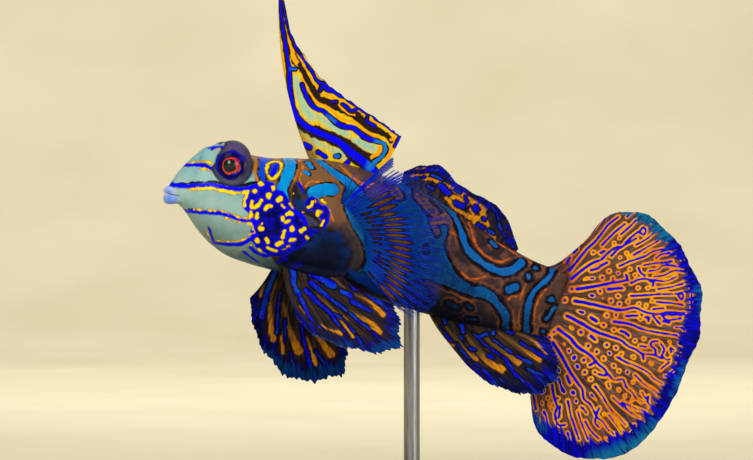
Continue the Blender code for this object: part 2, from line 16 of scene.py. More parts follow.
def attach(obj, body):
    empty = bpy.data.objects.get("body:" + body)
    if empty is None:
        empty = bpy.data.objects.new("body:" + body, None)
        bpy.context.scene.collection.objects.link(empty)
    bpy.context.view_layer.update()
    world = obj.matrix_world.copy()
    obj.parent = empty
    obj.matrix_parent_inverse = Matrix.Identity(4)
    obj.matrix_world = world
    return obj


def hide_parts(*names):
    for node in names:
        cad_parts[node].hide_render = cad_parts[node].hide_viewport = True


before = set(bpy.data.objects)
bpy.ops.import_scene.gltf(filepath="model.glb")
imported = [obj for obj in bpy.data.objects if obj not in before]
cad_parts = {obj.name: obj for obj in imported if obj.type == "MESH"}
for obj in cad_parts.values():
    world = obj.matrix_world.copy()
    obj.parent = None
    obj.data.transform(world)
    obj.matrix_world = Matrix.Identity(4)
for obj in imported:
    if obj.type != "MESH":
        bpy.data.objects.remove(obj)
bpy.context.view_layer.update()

# The camera stands where the photographer was: level with the middle of the fish, square to its left
# flank, with a long lens.
CAMERA_AWAY = 450.0
CAMERA_HEIGHT = 37.5
PICTURE_SIZE = (753, 460)
PICTURE_MM = 0.136  # what one pixel covers at the fish
SENSOR = 36.0

camera = bpy.data.objects.new("camera", bpy.data.cameras.new("camera"))
bpy.context.scene.collection.objects.link(camera)
camera.location = (0, -CAMERA_AWAY / 1000, CAMERA_HEIGHT / 1000)
camera.rotation_euler = (math.pi / 2, 0, 0)
camera.data.sensor_width = SENSOR
camera.data.lens = SENSOR * CAMERA_AWAY / (PICTURE_SIZE[0] * PICTURE_MM)
camera.data.clip_start = 0.01
bpy.context.scene.camera = camera


def in_picture(points):
    """The picture coordinates, in pixels, of points in millimetres."""
    points = np.asarray(points, float)
    nearer = CAMERA_AWAY / (CAMERA_AWAY + points[..., 1])
    across = PICTURE_SIZE[0] / 2 + points[..., 0] * nearer / PICTURE_MM
    down = PICTURE_SIZE[1] / 2 - (points[..., 2] - CAMERA_HEIGHT) * nearer / PICTURE_MM
    return np.stack([across, down], -1)


# The body is one smooth skin over head, trunk and tail. A mandarinfish has no scales: its skin is thick
# and coated with mucus. The skin starts as a sphere drawn out along the midline, takes in the eye
# bulges, lips, cheek spines and fleshy fin bases, and is remeshed and smoothed to a single surface.
BODY_LENGTH = 55.4
LIPS = (-28.9, 42.5)
PITCH = ((8.0, 38.0), -9.0, -21.0)  # from which station to which, and the degrees at each end
YAW = ((10.0, 44.0), 12.0, -5.0)
STATION_IN_PLANE = 30.0
# Station, height above the midline, depth below it, half width, height of the widest place
SECTIONS = (
    (0.5, 1.9, 0.6, 0.8, 0.1),
    (0.95, 2.25, 0.7, 1.1, 0.2),
    (1.4, 2.6, 0.8, 1.5, 0.2),
    (2.1, 3.75, 1.0, 2.1, 0.2),
    (3.0, 5.0, 1.5, 2.8, 0.1),
    (4.0, 6.15, 2.4, 3.5, -0.1),
    (5.5, 6.9, 4.0, 4.4, -0.6),
    (7.5, 7.1, 5.6, 5.2, -1.0),
    (10.0, 7.0, 6.9, 5.9, -1.4),
    (13.0, 7.0, 7.5, 6.5, -1.5),
    (16.5, 7.6, 7.8, 6.9, -1.3),
    (20.0, 8.2, 7.9, 7.0, -1.0),
    (27.0, 8.4, 8.1, 6.7, -0.4),
    (33.0, 8.1, 7.8, 5.9, 0.0),
    (38.0, 7.1, 7.4, 5.0, 0.0),
    (43.0, 6.1, 6.8, 4.0, 0.0),
    (48.0, 5.2, 5.9, 2.8, 0.0),
    (52.0, 4.8, 5.2, 1.9, 0.0),
    (55.4, 4.8, 4.6, 1.0, 0.0),
)
# Station, roundness of the back and of the belly: 2 is an ellipse, and more is squarer
ROUNDNESS = ((0.0, 2.0, 2.0), (10.0, 2.1, 2.5), (20.0, 2.1, 2.5), (34.0, 2.1, 2.1), (55.4, 1.9, 1.9))
SKIN_VOXEL = 0.2


def smooth(at, known, values, overshoots=False):
    """Values at any place, on a smooth curve through the known ones, level at their peaks or not."""
    at, known, values = (np.asarray(a, float) for a in (at, known, values))
    spare = (1,) * (values.ndim - 1)
    steps = np.diff(known).reshape((-1, *spare))
    slopes = np.diff(values, axis=0) / steps
    tangents = np.concatenate([slopes[:1], (slopes[:-1] + slopes[1:]) / 2, slopes[-1:]])
    if not overshoots:
        tangents[1:-1][slopes[:-1] * slopes[1:] <= 0] = 0
    i = np.clip(np.searchsorted(known, at, side="right") - 1, 0, len(known) - 2)
    share = np.asarray((at - known[i]) / np.diff(known)[i]).reshape((*at.shape, *spare))
    rise = 3 * share**2 - 2 * share**3
    bends = (share**3 - 2 * share**2 + share) * tangents[i] + (share**3 - share**2) * tangents[i + 1]
    return (1 - rise) * values[i] + rise * values[i + 1] + steps[i] * bends


def eased(at, bend, first, last):
    """A value that goes gently from first to last between the ends of a bend."""
    share = np.clip((np.asarray(at, float) - bend[0]) / (bend[1] - bend[0]), 0, 1)
    return first + (last - first) * share**2 * (3 - 2 * share)


def directions(station):
    """The tailward, rightward and upward directions of the fish at a station."""
    pitch, yaw = np.radians(eased(station, *PITCH)), np.radians(eased(station, *YAW))
    tailward = np.stack([np.cos(yaw) * np.cos(pitch), np.sin(yaw) * np.cos(pitch), np.sin(pitch)], -1)
    rightward = np.stack([-np.sin(yaw), np.cos(yaw), np.zeros_like(yaw)], -1)
    return tailward, rightward, np.cross(tailward, rightward)


MIDLINE_STATIONS = np.arange(0, BODY_LENGTH + 4, 0.05)
MIDLINE = np.cumsum(directions(MIDLINE_STATIONS)[0] * 0.05, 0)
MIDLINE += np.array([LIPS[0], -np.interp(STATION_IN_PLANE, MIDLINE_STATIONS, MIDLINE[:, 1]), LIPS[1]])


def midline(station):
    return np.stack([np.interp(station, MIDLINE_STATIONS, MIDLINE[:, k]) for k in range(3)], -1)


def section(station, angle):
    """How far right and how high from the midline the skin is, at an angle round a section."""
    rows = np.array(SECTIONS)
    above, below, half_width, widest = np.moveaxis(smooth(station, rows[:, 0], rows[:, 1:]), -1, 0)
    rows = np.array(ROUNDNESS)
    back, belly = np.moveaxis(smooth(station, rows[:, 0], rows[:, 1:]), -1, 0)
    turn = np.radians(angle)
    power = 2 / np.where(np.cos(turn) > 0, back, belly)
    aside = half_width * np.sign(np.sin(turn)) * np.abs(np.sin(turn)) ** power
    reach = np.where(np.cos(turn) > 0, above - widest, below + widest)
    return aside, widest + reach * np.sign(np.cos(turn)) * np.abs(np.cos(turn)) ** power


def body_point(station, angle, out=0.0):
    """A point of the body's surface, moved out from it. Negative angles are on the left."""
    station, angle = np.broadcast_arrays(np.asarray(station, float), np.asarray(angle, float))

    def point(at, turn):
        aside, height = section(at, turn)
        _, rightward, upward = directions(at)
        return midline(at) + rightward * aside[..., None] + upward * height[..., None]

    here = point(station, angle)
    if out == 0:
        return here
    along = point(station + 0.1, angle) - point(station - 0.1, angle)
    normal = np.cross(along, point(station, angle + 1) - point(station, angle - 1))
    normal /= np.linalg.norm(normal, axis=-1, keepdims=True)
    normal *= np.sign(np.sum(normal * (here - midline(station)), -1, keepdims=True))
    return here + normal * out


def points_of(piece):
    co = np.empty(len(piece.data.vertices) * 3)
    piece.data.vertices.foreach_get("co", co)
    return co.reshape(-1, 3)


def move_points(piece, points):
    piece.data.vertices.foreach_set("co", np.asarray(points, float).ravel())
    piece.data.update()


def primitive(name, add, **sizes):
    """A new primitive at the origin, alone in the selection."""
    bpy.ops.object.select_all(action="DESELECT")
    add(**sizes)
    piece = bpy.context.object
    piece.name = piece.data.name = name
    return piece


def ball(name, centre, radii, around=32, rings=16, turned=None):
    """An ellipsoid whose radii run along the three directions of turned."""
    piece = primitive(name, bpy.ops.mesh.primitive_uv_sphere_add, segments=around, ring_count=rings)
    axes = np.eye(3) if turned is None else np.array(turned)
    move_points(piece, centre + (points_of(piece) * radii) @ axes)
    return piece


def only(piece):
    bpy.ops.object.select_all(action="DESELECT")
    piece.select_set(True)
    bpy.context.view_layer.objects.active = piece


def close(piece, weld=0.0):
    """Welds the seam of a piece, fills its open ends and turns its faces outward."""
    only(piece)
    bpy.ops.object.mode_set(mode="EDIT")
    bpy.ops.mesh.select_all(action="SELECT")
    if weld:
        bpy.ops.mesh.remove_doubles(threshold=weld)
    bpy.ops.mesh.fill_holes(sides=0)
    bpy.ops.mesh.normals_make_consistent(inside=False)
    bpy.ops.object.mode_set(mode="OBJECT")


def tube(name, path, radii, around=12):
    """A closed tube along a path, from a cylinder whose rings are set square to it."""
    path = np.asarray(path, float)
    rings = len(path)
    piece = primitive(name, bpy.ops.mesh.primitive_grid_add, x_subdivisions=around, y_subdivisions=rings - 1)
    ahead = np.gradient(path, axis=0)
    ahead /= np.linalg.norm(ahead, axis=1, keepdims=True)
    first = np.cross(ahead, np.cross(ahead[0], (0.1, 0.2, 1.0)))
    first = np.cross(first, ahead)
    first /= np.linalg.norm(first, axis=1, keepdims=True)
    second = np.cross(ahead, first)
    across = (points_of(piece)[:, 0] + 1) * math.pi
    ring = np.rint((points_of(piece)[:, 1] + 1) / 2 * (rings - 1)).astype(int)
    spoke = first[ring] * np.cos(across)[:, None] + second[ring] * np.sin(across)[:, None]
    move_points(piece, path[ring] + spoke * np.asarray(radii, float)[ring, None])
    close(piece, weld=1e-4)
    return piece


def apply(piece, kind, **settings):
    """Adds a modifier to a piece and applies it."""
    only(piece)
    modifier = piece.modifiers.new(kind.lower(), kind)
    for name, value in settings.items():
        setattr(modifier, name, value)
    bpy.ops.object.modifier_apply(modifier=modifier.name)


def join(pieces):
    only(pieces[0])
    for piece in pieces:
        piece.select_set(True)
    bpy.ops.object.join()
    return pieces[0]


def cut(piece, tools):
    """Cuts the tools out of a piece."""
    for tool in tools:
        apply(piece, "BOOLEAN", operation="DIFFERENCE", solver="EXACT", object=tool)
        bpy.data.objects.remove(tool)


def in_metres(piece):
    move_points(piece, points_of(piece) / 1000)
    only(piece)
    bpy.ops.object.shade_smooth()


EYE_STATION, EYE_HEIGHT, EYE_ASIDE = 8.6, 5.2, 3.3
BULGE_STATION, BULGE_HEIGHT, BULGE_RADII = 8.2, 5.35, (2.72, 2.85, 3.08)
BROW, BROW_RADII = (6.6, 5.2, 2.2), (2.6, 2.1, 2.3)
EYE_RADIUS, EYE_OUT = 1.8, 1.3
EYE_LOOK = (-0.36, 0.92, -0.12)  # tailward, outward and up
LID_RADIUS, LID_THICKNESS, LID_OUT = 1.85, 0.24, 0.62
LIP_STATION, LIP_WIDTH = 1.9, 1.5
UPPER_LIP, LOWER_LIP = (0.5, 0.5, 1.78), (-0.66, 0.74, 1.22)  # height, radius and reach in front
MOUTH_STATION, MOUTH_HEIGHT, MOUTH_RADII = 0.4, -0.06, (2.3, 3.0, 0.08)
NOSTRIL = (6.4, 34)  # station and angle, as of what follows
GILL_OPENING, GILL_ENDS, GILL_RADII = (18.3, 62), ((17.7, 54), (18.9, 70)), (1.1, 0.24, 0.6)
SPINE_ROOT, SPINE_RISE = (18.4, 88, -0.25), (3.4, 6, 0.75)  # also how far out from the flank


def beside(station, height, aside, side):
    """A place some way up and aside from the midline."""
    _, rightward, upward = directions(station)
    return midline(station) + side * aside * rightward + height * upward


def eye_look(side):
    tailward, rightward, upward = directions(EYE_STATION)
    look = EYE_LOOK[0] * tailward + side * EYE_LOOK[1] * rightward + EYE_LOOK[2] * upward
    return look / np.linalg.norm(look)


def eye_centre(side):
    return beside(EYE_STATION, EYE_HEIGHT, EYE_ASIDE, side) + EYE_OUT * eye_look(side)


def lid(side):
    """The rim of skin that hugs the eyeball."""
    look = eye_look(side)
    first = np.cross(look, (0.0, 0.0, 1.0))
    first /= np.linalg.norm(first)
    turns = np.linspace(0, 2 * math.pi, 33)[:, None]
    ring = np.cos(turns) * first + np.sin(turns) * np.cross(look, first)
    path = eye_centre(side) + look * LID_OUT + ring * LID_RADIUS
    return tube("lid", path, [LID_THICKNESS] * len(path))


def lip(height, radius, reach):
    """One lip: a roll that is bent round the snout and thins to the corners of the mouth."""
    tailward, rightward, upward = directions(LIP_STATION)
    turns = np.radians(np.linspace(-115, 115, 31))[:, None]
    path = midline(LIP_STATION) + tailward * reach * (0.25 - np.cos(turns))
    path = path + rightward * LIP_WIDTH * np.sin(turns) + upward * height
    return tube("lip", path, radius * (0.35 + 0.65 * np.cos(turns[:, 0] * 9 / 13)))


skin = primitive("skin", bpy.ops.mesh.primitive_uv_sphere_add, segments=144, ring_count=220)
unit = points_of(skin)
share = np.arccos(np.clip(-unit[:, 2], -1, 1)) / math.pi
stations = SECTIONS[0][0] + (BODY_LENGTH + 0.3 - SECTIONS[0][0]) * share
around = np.degrees(np.arctan2(unit[:, 1], unit[:, 0]))
body = body_point(np.minimum(stations, BODY_LENGTH), around)
tips = np.minimum(1, np.sqrt(np.minimum(share, 1 - share) * 60))[:, None]
move_points(skin, midline(stations) + (body - midline(np.minimum(stations, BODY_LENGTH))) * tips)

flesh = [skin, lip(*UPPER_LIP), lip(*LOWER_LIP)]
for side in (-1, 1):
    bulge = beside(BULGE_STATION, BULGE_HEIGHT, EYE_ASIDE, side)
    flesh.append(ball("bulge", bulge, BULGE_RADII, turned=directions(BULGE_STATION)))
    brow = beside(BROW[0], BROW[1], BROW[2], side)
    flesh.append(ball("brow", brow, BROW_RADII, turned=directions(BROW[0])))
    flesh.append(lid(side))
    nostril = [body_point(NOSTRIL[0], side * NOSTRIL[1], out) for out in (-0.4, 0.35)]
    flesh.append(tube("nostril", nostril, [0.36, 0.28]))
    along = np.linspace(0, 1, 8)
    places = np.array(SPINE_ROOT) + along[:, None] * SPINE_RISE
    spine = np.array([body_point(station, side * angle, out) for station, angle, out in places])
    flesh.append(tube("spine", spine, 0.5 * (1.05 - 0.85 * along)))

# Each fin stands on a low roll of flesh: the line of its roots, from end to end, and the roll's radius
FIN_BASES = (
    ("left pectoral", (23.2, 27.4, 29.4), (-65.0, -88.0, -120.0), 0.75),
    ("right pectoral", (23.2, 27.4, 29.4), (65.0, 88.0, 120.0), 0.75),
    ("left pelvic", (17.3, 26.8), (-148.0, -138.0), 0.8),
    ("right pelvic", (17.3, 24.9), (148.0, 143.0), 0.8),
    ("first dorsal", (18.0, 28.4), (0.0, 0.0), 0.42),
    ("second dorsal", (30.2, 46.8), (0.0, 0.0), 0.4),
    ("anal", (39.5, 52.8), (180.0, 180.0), 0.4),
)
for name, stations, angles, radius in FIN_BASES:
    along = np.linspace(0, 1, 24)
    root = [np.interp(along, np.linspace(0, 1, len(line)), line) for line in (stations, angles)]
    thinning = radius * np.sqrt(np.clip(4 * along * (1 - along), 0.1, 1))
    flesh.append(tube("fin base", body_point(*root, -0.2), thinning))
tailward, _, upward = directions(BODY_LENGTH)
heights = np.linspace(-4.5, 4.7, 20)[:, None]
flesh.append(tube("fin base", midline(BODY_LENGTH) + tailward * 0.1 + upward * heights, [0.75] * 20))

skin = join(flesh)
apply(skin, "REMESH", mode="VOXEL", voxel_size=SKIN_VOXEL)
apply(skin, "SMOOTH", factor=0.5, iterations=4)

cuts = []
mouth = midline(MOUTH_STATION) + directions(LIP_STATION)[2] * MOUTH_HEIGHT
cuts.append(ball("mouth", mouth, MOUTH_RADII, turned=directions(LIP_STATION)))
for side in (-1, 1):
    cuts.append(ball("socket", eye_centre(side), (EYE_RADIUS + 0.06,) * 3, 48, 24))
    pit = [body_point(NOSTRIL[0], side * NOSTRIL[1], out) for out in (-0.1, 0.6)]
    cuts.append(tube("pit", pit, [0.14, 0.14]))
    station, angle = GILL_OPENING
    centre = body_point(station, side * angle)
    first, last = (body_point(at, side * turn) for at, turn in GILL_ENDS)
    along = (last - first) / np.linalg.norm(last - first)
    out = body_point(station, side * angle, 1.0) - centre
    out -= along * np.dot(out, along)
    out /= np.linalg.norm(out)
    cuts.append(ball("gill", centre, GILL_RADII, turned=(along, np.cross(out, along), out)))
cut(skin, cuts)


# The markings are strokes: a half width in millimetres, or one at each end, and the picture coordinates
# that it runs through. Both flanks carry them, mirrored at the line of the back.
NEAR_MIDDLE = 1.2  # a stroke that begins nearer to the middle runs on to meet that of the other flank


def pixels(text):
    return np.array(text.split(), float).reshape(-1, 2)


def dense(points, step=1.5):
    """A smooth line through some points, with a point every few pixels."""
    along = np.concatenate([[0], np.cumsum(np.linalg.norm(np.diff(points, axis=0), axis=1))])
    if along[-1] == 0:
        return np.repeat(points[:1], 2, 0)
    places = np.linspace(0, along[-1], max(2, int(along[-1] / step) + 1))
    return smooth(places, along, points, overshoots=True)


def outside_line(points, line, halves):
    """How far points are outside a line with a half width at each of its points."""
    nearest = np.full(len(points), 1e9)
    for a, b, wide, next_wide in zip(line, line[1:], halves, halves[1:]):
        along = b - a
        share = np.clip((points - a) @ along / max(along @ along, 1e-12), 0, 1)
        away = np.linalg.norm(points - a - share[:, None] * along, axis=1)
        nearest = np.minimum(nearest, away - wide - share * (next_wide - wide))
    return nearest


def outside_strokes(points, strokes, placed, reach=1.5):
    """How far points are outside the nearest of some strokes, in millimetres, up to a reach."""
    nearest = np.full(len(points), reach)
    for half, text in strokes:
        first, last = half if isinstance(half, tuple) else (half, half)
        line = placed(dense(pixels(text)))
        halves = np.linspace(first, last, len(line))
        margin = reach + max(first, last)
        near = np.all((points > line.min(0) - margin) & (points < line.max(0) + margin), axis=1)
        nearest[near] = np.minimum(nearest[near], outside_line(points[near], line, halves))
    return nearest


def outside_area(seen, text, reach=1.5):
    """How far places in the picture are outside a closed outline, in millimetres. Inside is below 0."""
    outline = pixels(text)
    outline = np.concatenate([outline, outline[:1]])
    away = outside_line(seen * PICTURE_MM, outline * PICTURE_MM, np.zeros(len(outline)))
    inside = np.zeros(len(seen), bool)
    for a, b in zip(outline, outline[1:]):
        spans = (a[1] > seen[:, 1]) != (b[1] > seen[:, 1])
        rise = b[1] - a[1] if b[1] != a[1] else 1e-9
        inside ^= spans & (seen[:, 0] < a[0] + (b[0] - a[0]) * (seen[:, 1] - a[1]) / rise)
    return np.clip(np.where(inside, -away, away), -reach, reach)


def on_flank(points):
    """Points as station, distance aside and height above the midline, with both flanks on one side."""
    station = np.interp(points[:, 0], MIDLINE[:, 0], MIDLINE_STATIONS)
    for _ in range(4):
        station = station + np.sum((points - midline(station)) * directions(station)[0], 1)
        station = np.clip(station, -3, BODY_LENGTH + 3)
    _, rightward, upward = directions(station)
    away = points - midline(station)
    return np.stack([station, np.abs(np.sum(away * rightward, 1)), np.sum(away * upward, 1)], 1)


def left_flank(flank):
    """The points of the left flank with some stations, distances aside and heights."""
    _, rightward, upward = directions(flank[:, 0])
    return midline(flank[:, 0]) - rightward * flank[:, 1:2] + upward * flank[:, 2:3]


def add_attribute(piece, name, values):
    attribute = piece.data.attributes.new(name, "FLOAT", "POINT")
    attribute.data.foreach_set("value", np.asarray(values, np.float32))


surface = BVHTree.FromObject(skin, bpy.context.evaluated_depsgraph_get())
eye_point = Vector((0, -CAMERA_AWAY, CAMERA_HEIGHT))


def on_skin(line):
    """The places on the flank that lie behind places in the picture."""
    found = []
    for across, down in line:
        ahead = Vector(((across - PICTURE_SIZE[0] / 2) * PICTURE_MM, CAMERA_AWAY, 0))
        ahead.z = (PICTURE_SIZE[1] / 2 - down) * PICTURE_MM
        hit = surface.ray_cast(eye_point, ahead.normalized())[0]
        found.append(hit or surface.find_nearest(eye_point + ahead)[0])
    flank = on_flank(np.array(found))
    if flank[0, 1] < NEAR_MIDDLE:
        middle = surface.find_nearest(Vector(left_flank(flank[:1] * (1, 0, 1))[0]))[0]
        flank = np.concatenate([on_flank(np.array([middle])), flank])
    return flank


# Turquoise bands and spots of the nape, shoulder and tail, each with a black and an orange outline
BANDS = (
    ((0.62, 0.42), "263.5 157 263.6 166 262 172 263.4 180"),
    (0.5, "274.6 166 273 174"),
    ((0.85, 0.7), "287 156 290.5 163 289 172 285 180 282.4 188 283.5 197"),
    ((0.4, 0.3), "308 162.5 312 168"),
    (0.3, "305.5 172 308.5 174"),
    ((0.85, 0.95), "313.5 192 320 190.4 327 188.6 331.5 189"),
    ((0.45, 0.85), "316 158 332 170.6 346 181 357 192 364 200"),
    (
        (0.44, 0.52),
        "453.6 214 458.5 224 463 237 467.5 249 476 258 487 265.5 496 270 506 271.5 515 268 522 262.5",
    ),
    (0.5, "454 216 446 207 434 195 424 184 418 178"),
    ((0.35, 0.25), "492 242 495.5 246"),
    ((0.76, 0.4), "446 276 456 283.5 470 290.5 482 292.5 491 297 499.5 306 505 317 506.5 334"),
    ((0.7, 0.5), "413 287 426 294"),
    ((0.5, 0.55), "509 289.5 515 287"),
    (0.36, "528.5 276 528.5 278"),
    (0.2, "535 268 537 268"),
    ((0.3, 0.4), "554 266 553 270 547.6 279 537 288 531 298 528 310 527 331"),
    (0.3, "555 308 546 319"),
    (0.22, "549.5 299.5 551 298.5"),
    (0.15, "543 331.5 544 332.5"),
    (0.3, "448 303 457 308"),
    (0.22, "468 319 475 320"),
    (0.18, "467 305 470 308"),
)
# The wide blue field behind the shoulder, as a closed outline, and the brown islands in it
BLUE_FIELD = (
    "346 186 343 200 347 214 354 228 362 240 366 252 366 262 361 269 350 273 346 277 356 283 372 288 390 292"
    " 404 286 416 277 432 279 449 287 464 292.4 476 295 476 288 471 285 463 281 455 272 448 260 443.4 246.5"
    " 447 229 444 226 434 229 428 222 430 214 440 212 430 203 420 206 412 196 408 184 396 176 386 178 384 190"
    " 374 196 362 196 354 190"
)
BROWN_ISLANDS = (
    (1.2, "391 185 398 195"),
    (1.3, "420 198 433 211"),
    (0.8, "432 222 438 233"),
    (0.5, "426 246 426 252"),
    (0.5, "386 212 392 220"),
)
# Blue lines of the face, with a dark edge above and a yellow one below or above
FACE_LINES = (
    (0.22, "203 148 206 147 210 147.5 212 148"),
    ((0.2, 0.3), "214 147 218 146.5 223 149"),
    ((0.3, 0.24), "185 165 194 165 205 165.5 212 168.5 217 164 220 161"),
    (0.3, "174 185 187 186 212 185 227 188 243 189 253 187 257 185"),
    (0.26, "186 211 200 212 220 213 235 217.6 244.5 220 253 219.5 258 222"),
    (0.22, "209 228 214 242.5"),
    (0.28, "213 243 227 244.4 242 243.7 249.5 239.4 256 235"),
    (0.34, "247 193 246 206 250 211"),
    (0.3, "254 222 253 236"),
    (0.2, "244 252 252 258 258 262"),
    (0.26, "277.4 164 275 169 272.4 175"),
    (0.16, "298.6 183.6 301.6 188 304.3 194"),
    (0.24, "296 212.4 300 214 304 218.6 305.6 224"),
    (0.26, "250.8 247.3 255.9 252.4 262.2 255.3 268.6 255.6"),
    ((0.22, 0.4), "277.6 262.7 285.2 258.6"),
    (0.5, "294.1 265.5 299.9 263.9"),
    (0.26, "291.8 269 293.1 275.4"),
)
DARK_LINES = (
    (
        (0.18, 0.26),
        "176 184 187 183.6 193.4 183 201 182.4 213.8 182.2 221.4 183 231.6 185.6 241.8 185.4 250.8 183.4"
        " 256 182.4",
    ),
    (0.12, "187 209 200 210.2 220 211 236 215.6"),
)
YELLOW_LINES = (
    (0.14, "190 163 196 161.9 205 161.7 209 162.1 212.4 164.2"),
    (0.07, "214.5 150 218 148.6 221 150"),
    (0.11, "188 167.8 196 168.4 200 169.2 206.4 168.9 210.2 170.8"),
    ((0.16, 0.24), "190 189.4 200 188.7 212 188.4 220 190 227 191.4 235 192.6 241 192.8 247 191.8"),
    (0.2, "247.5 191.5 246.5 195.5 244.6 200 245 206"),
    (0.1, "194 209.6 207 210 220 210.5 230 213.6 243 218 248.5 217.6"),
    (0.2, "250.4 211.5 251.2 214.5 249.6 217.8"),
    (0.1, "226 218 236 221.4 245 223.6 251 224"),
    (0.15, "251 224 252.6 228 254.6 232.4 249.4 234.6"),
    (0.1, "217 240.5 227 241.6 240 240.8 247 237.4"),
    (0.1, "206 230 211 241"),
    (
        0.2,
        "267.6 165 266.4 170.6 268.4 176 271.6 179 276.6 176.4 280.6 170 281.4 163.6 277 161.6"
        " 270.6 162.4 267.6 165",
    ),
    (0.22, "255.6 190.8 253.6 191.5"),
    (0.34, "254 191 255 191"),
    (0.34, "260.6 183.5 262.6 184.6"),
    (0.28, "273.4 187 273.4 189"),
    (0.3, "269 194.6 268.6 197"),
    (0.32, "278 199.6 281 198.4"),
    (0.26, "252 202 251.4 206 254 208 258 205.6 261.6 200.6"),
    (0.24, "265.6 209.6 268 205.4 271 205.6"),
    (0.22, "281.6 205.6 284.4 207.4"),
    (0.17, "290 204.4 293 208"),
    (0.2, "286.5 214.4 290 212.8 292 214"),
    (0.22, "282.6 217 283 220"),
    (0.2, "286 222.6 289.4 220.8"),
    (0.26, "257.4 214 257 218"),
    (0.32, "260 228 262 229"),
    (0.12, "262 223 262 224"),
    (0.28, "284.4 231.4 283 236.6"),
    (0.28, "292 227.4 292 230.4"),
    (0.28, "300.6 232 304.6 228.6"),
    (0.3, "256.6 240 257.6 241.6"),
    (0.26, "266 238.6 268 242.4"),
    (0.28, "276.6 244.8 281.6 242.4"),
    (0.28, "290.6 240 294.6 239"),
    (0.2, "306 237 308 238"),
    (0.22, "267.4 247.6 276 251"),
    (0.17, "258.6 249 260.6 251"),
    (0.17, "286.6 247 290 246"),
    (0.12, "283 249 285 249"),
    (0.12, "249.6 244.6 251 245.4"),
    (0.1, "294 193.6 294 194.4"),
    (0.22, "308 207 311 205.6 312.4 202"),
    (0.14, "315 199 317 202.4"),
    (0.17, "322 200.4 326 204"),
    (0.28, "317 214.6 318 211 321 212"),
    (0.18, "321.6 225 323.4 220.6"),
    (0.1, "302.4 211.4 303.4 212.2"),
)
ORANGE_LINES = (
    (0.25, "253 157 256 162 254.6 170 257 180"),
    (0.12, "220.6 145.4 224 145.8 226 147"),
    (0.16, "283.4 160 285 170 281 179 278 186"),
    (0.12, "294 160 298 166 296.6 174 294 180"),
    (0.14, "299 160 303 168 300 180 305 187 309 182 320 182 333 182.4"),
    (0.12, "312 160 324 168 334 177 340 183"),
    (0.13, "340 165 350 176 360 184 370 187 378 185"),
    (0.2, "329.6 210 331.6 216 333.4 220"),
    (0.13, "344 168 354 178 366 184 374 184"),
    (0.14, "468 223.5 471 228 473 237 479 249 487 257 500.6 262 510 258"),
    (0.12, "489 246 490.6 242 493 240.6"),
    (0.12, "462 273 466 277 475 279 486 276"),
    (0.1, "448 231 455 234 460 238"),
    (0.14, "494 240.6 508 249 522 258 536 266"),
    (0.12, "546 289 540 297 536 306 533.6 316"),
    (0.1, "508 300 512 296 518 297"),
    (0.1, "520 300 523 290 526 284"),
    (0.07, "460.5 297 466 299.6 471.6 302"),
)
CHEEK = (
    "247 192 255 186 262 181 268 181 274 183 277 190 283 191 287 196 290 203 294 206 297 212 303 220"
    " 306 228 316 229 321 229 316 233 309 239 303 246 294 251 284 257 272 256 262 251 256 248 250 240"
    " 254 222 246 208"
)
CHEEK_LOBE = (
    "305 203 308 199 312 196 317 199 321 205 327 205 330 212 329 221 325 229 319 226 321 219 315 214"
    " 312 209 307 211"
)
NAVY_BELLY = (
    "292 240 300 231 308 228 330 224 341 227 349 238 353 250 352 262 346 276 300 276 276 264 284 256"
)
CRESCENT = ((0.2, 0.8), "346 226 351 235 356.6 247 357.6 258 355 264.6")
BROWN_BAND = ((0.6, 1.0), "334 203 338 214 349 232 356.6 247 357.6 258 355 264.6")
FACE = (
    "150 100 244 100 250 150 252 168 256 184 247 191 245 201 249 212 253 224 252 236 258 247 272 258"
    " 280 270 290 300 150 300"
)
LIPS_AREA = "155 186.5 166 185.2 171 187 175 191 177 197 176 204.5 170 210 155 210"
# Deep blue patches of the shoulder and of the shaded belly
DEEP_BLUE = (
    ((0.45, 0.6), "297.2 201.4 303.6 204"),
    (0.34, "298.5 207.8 301 211.6"),
    ((0.6, 0.75), "313.8 232 326.5 235.9 338 238.4"),
    (0.65, "343.8 252.4 346.9 254.4"),
    (0.3, "306.1 244.8 316.3 242.2"),
)
BELOW_FIN = ((0.5, 1.1), "350 271 357 277 367 283 379 289.5")
SHOULDER_GREY = "297 178 303 182 309 190 312 198 305 206 316 214 321 226 307 221 298 213 290 200 293 186"
SHOULDER = (
    "290 184 296 186 302 198 308 208 314 210 318 216 328 232 316 236 308 231 304 222 298 214 292 206 288 198"
)
SHADED_BELLY = (
    "240 268 256 262 276 256 296 250 308 243 316 232 330 228 344 232 350 244 350 262 344 272"
    " 380 280 420 286 450 295 480 313 505 332 520 340 520 370 260 330 240 300"
)
CHEEK_SPINE = "300.5 212 306 214.4 312 217.6 320 224.6 314 226.4 308 225.6 305 220"
# The eye bulge's own colour ends at its edge, and in front at the brow, which is as pale as the face
BARE_BROW = "196 138 225.5 139 225.5 144 221.4 151 217.6 156 216.3 162 213.8 167.5 208 171 196 171"
BULGE_REACH = 3.6

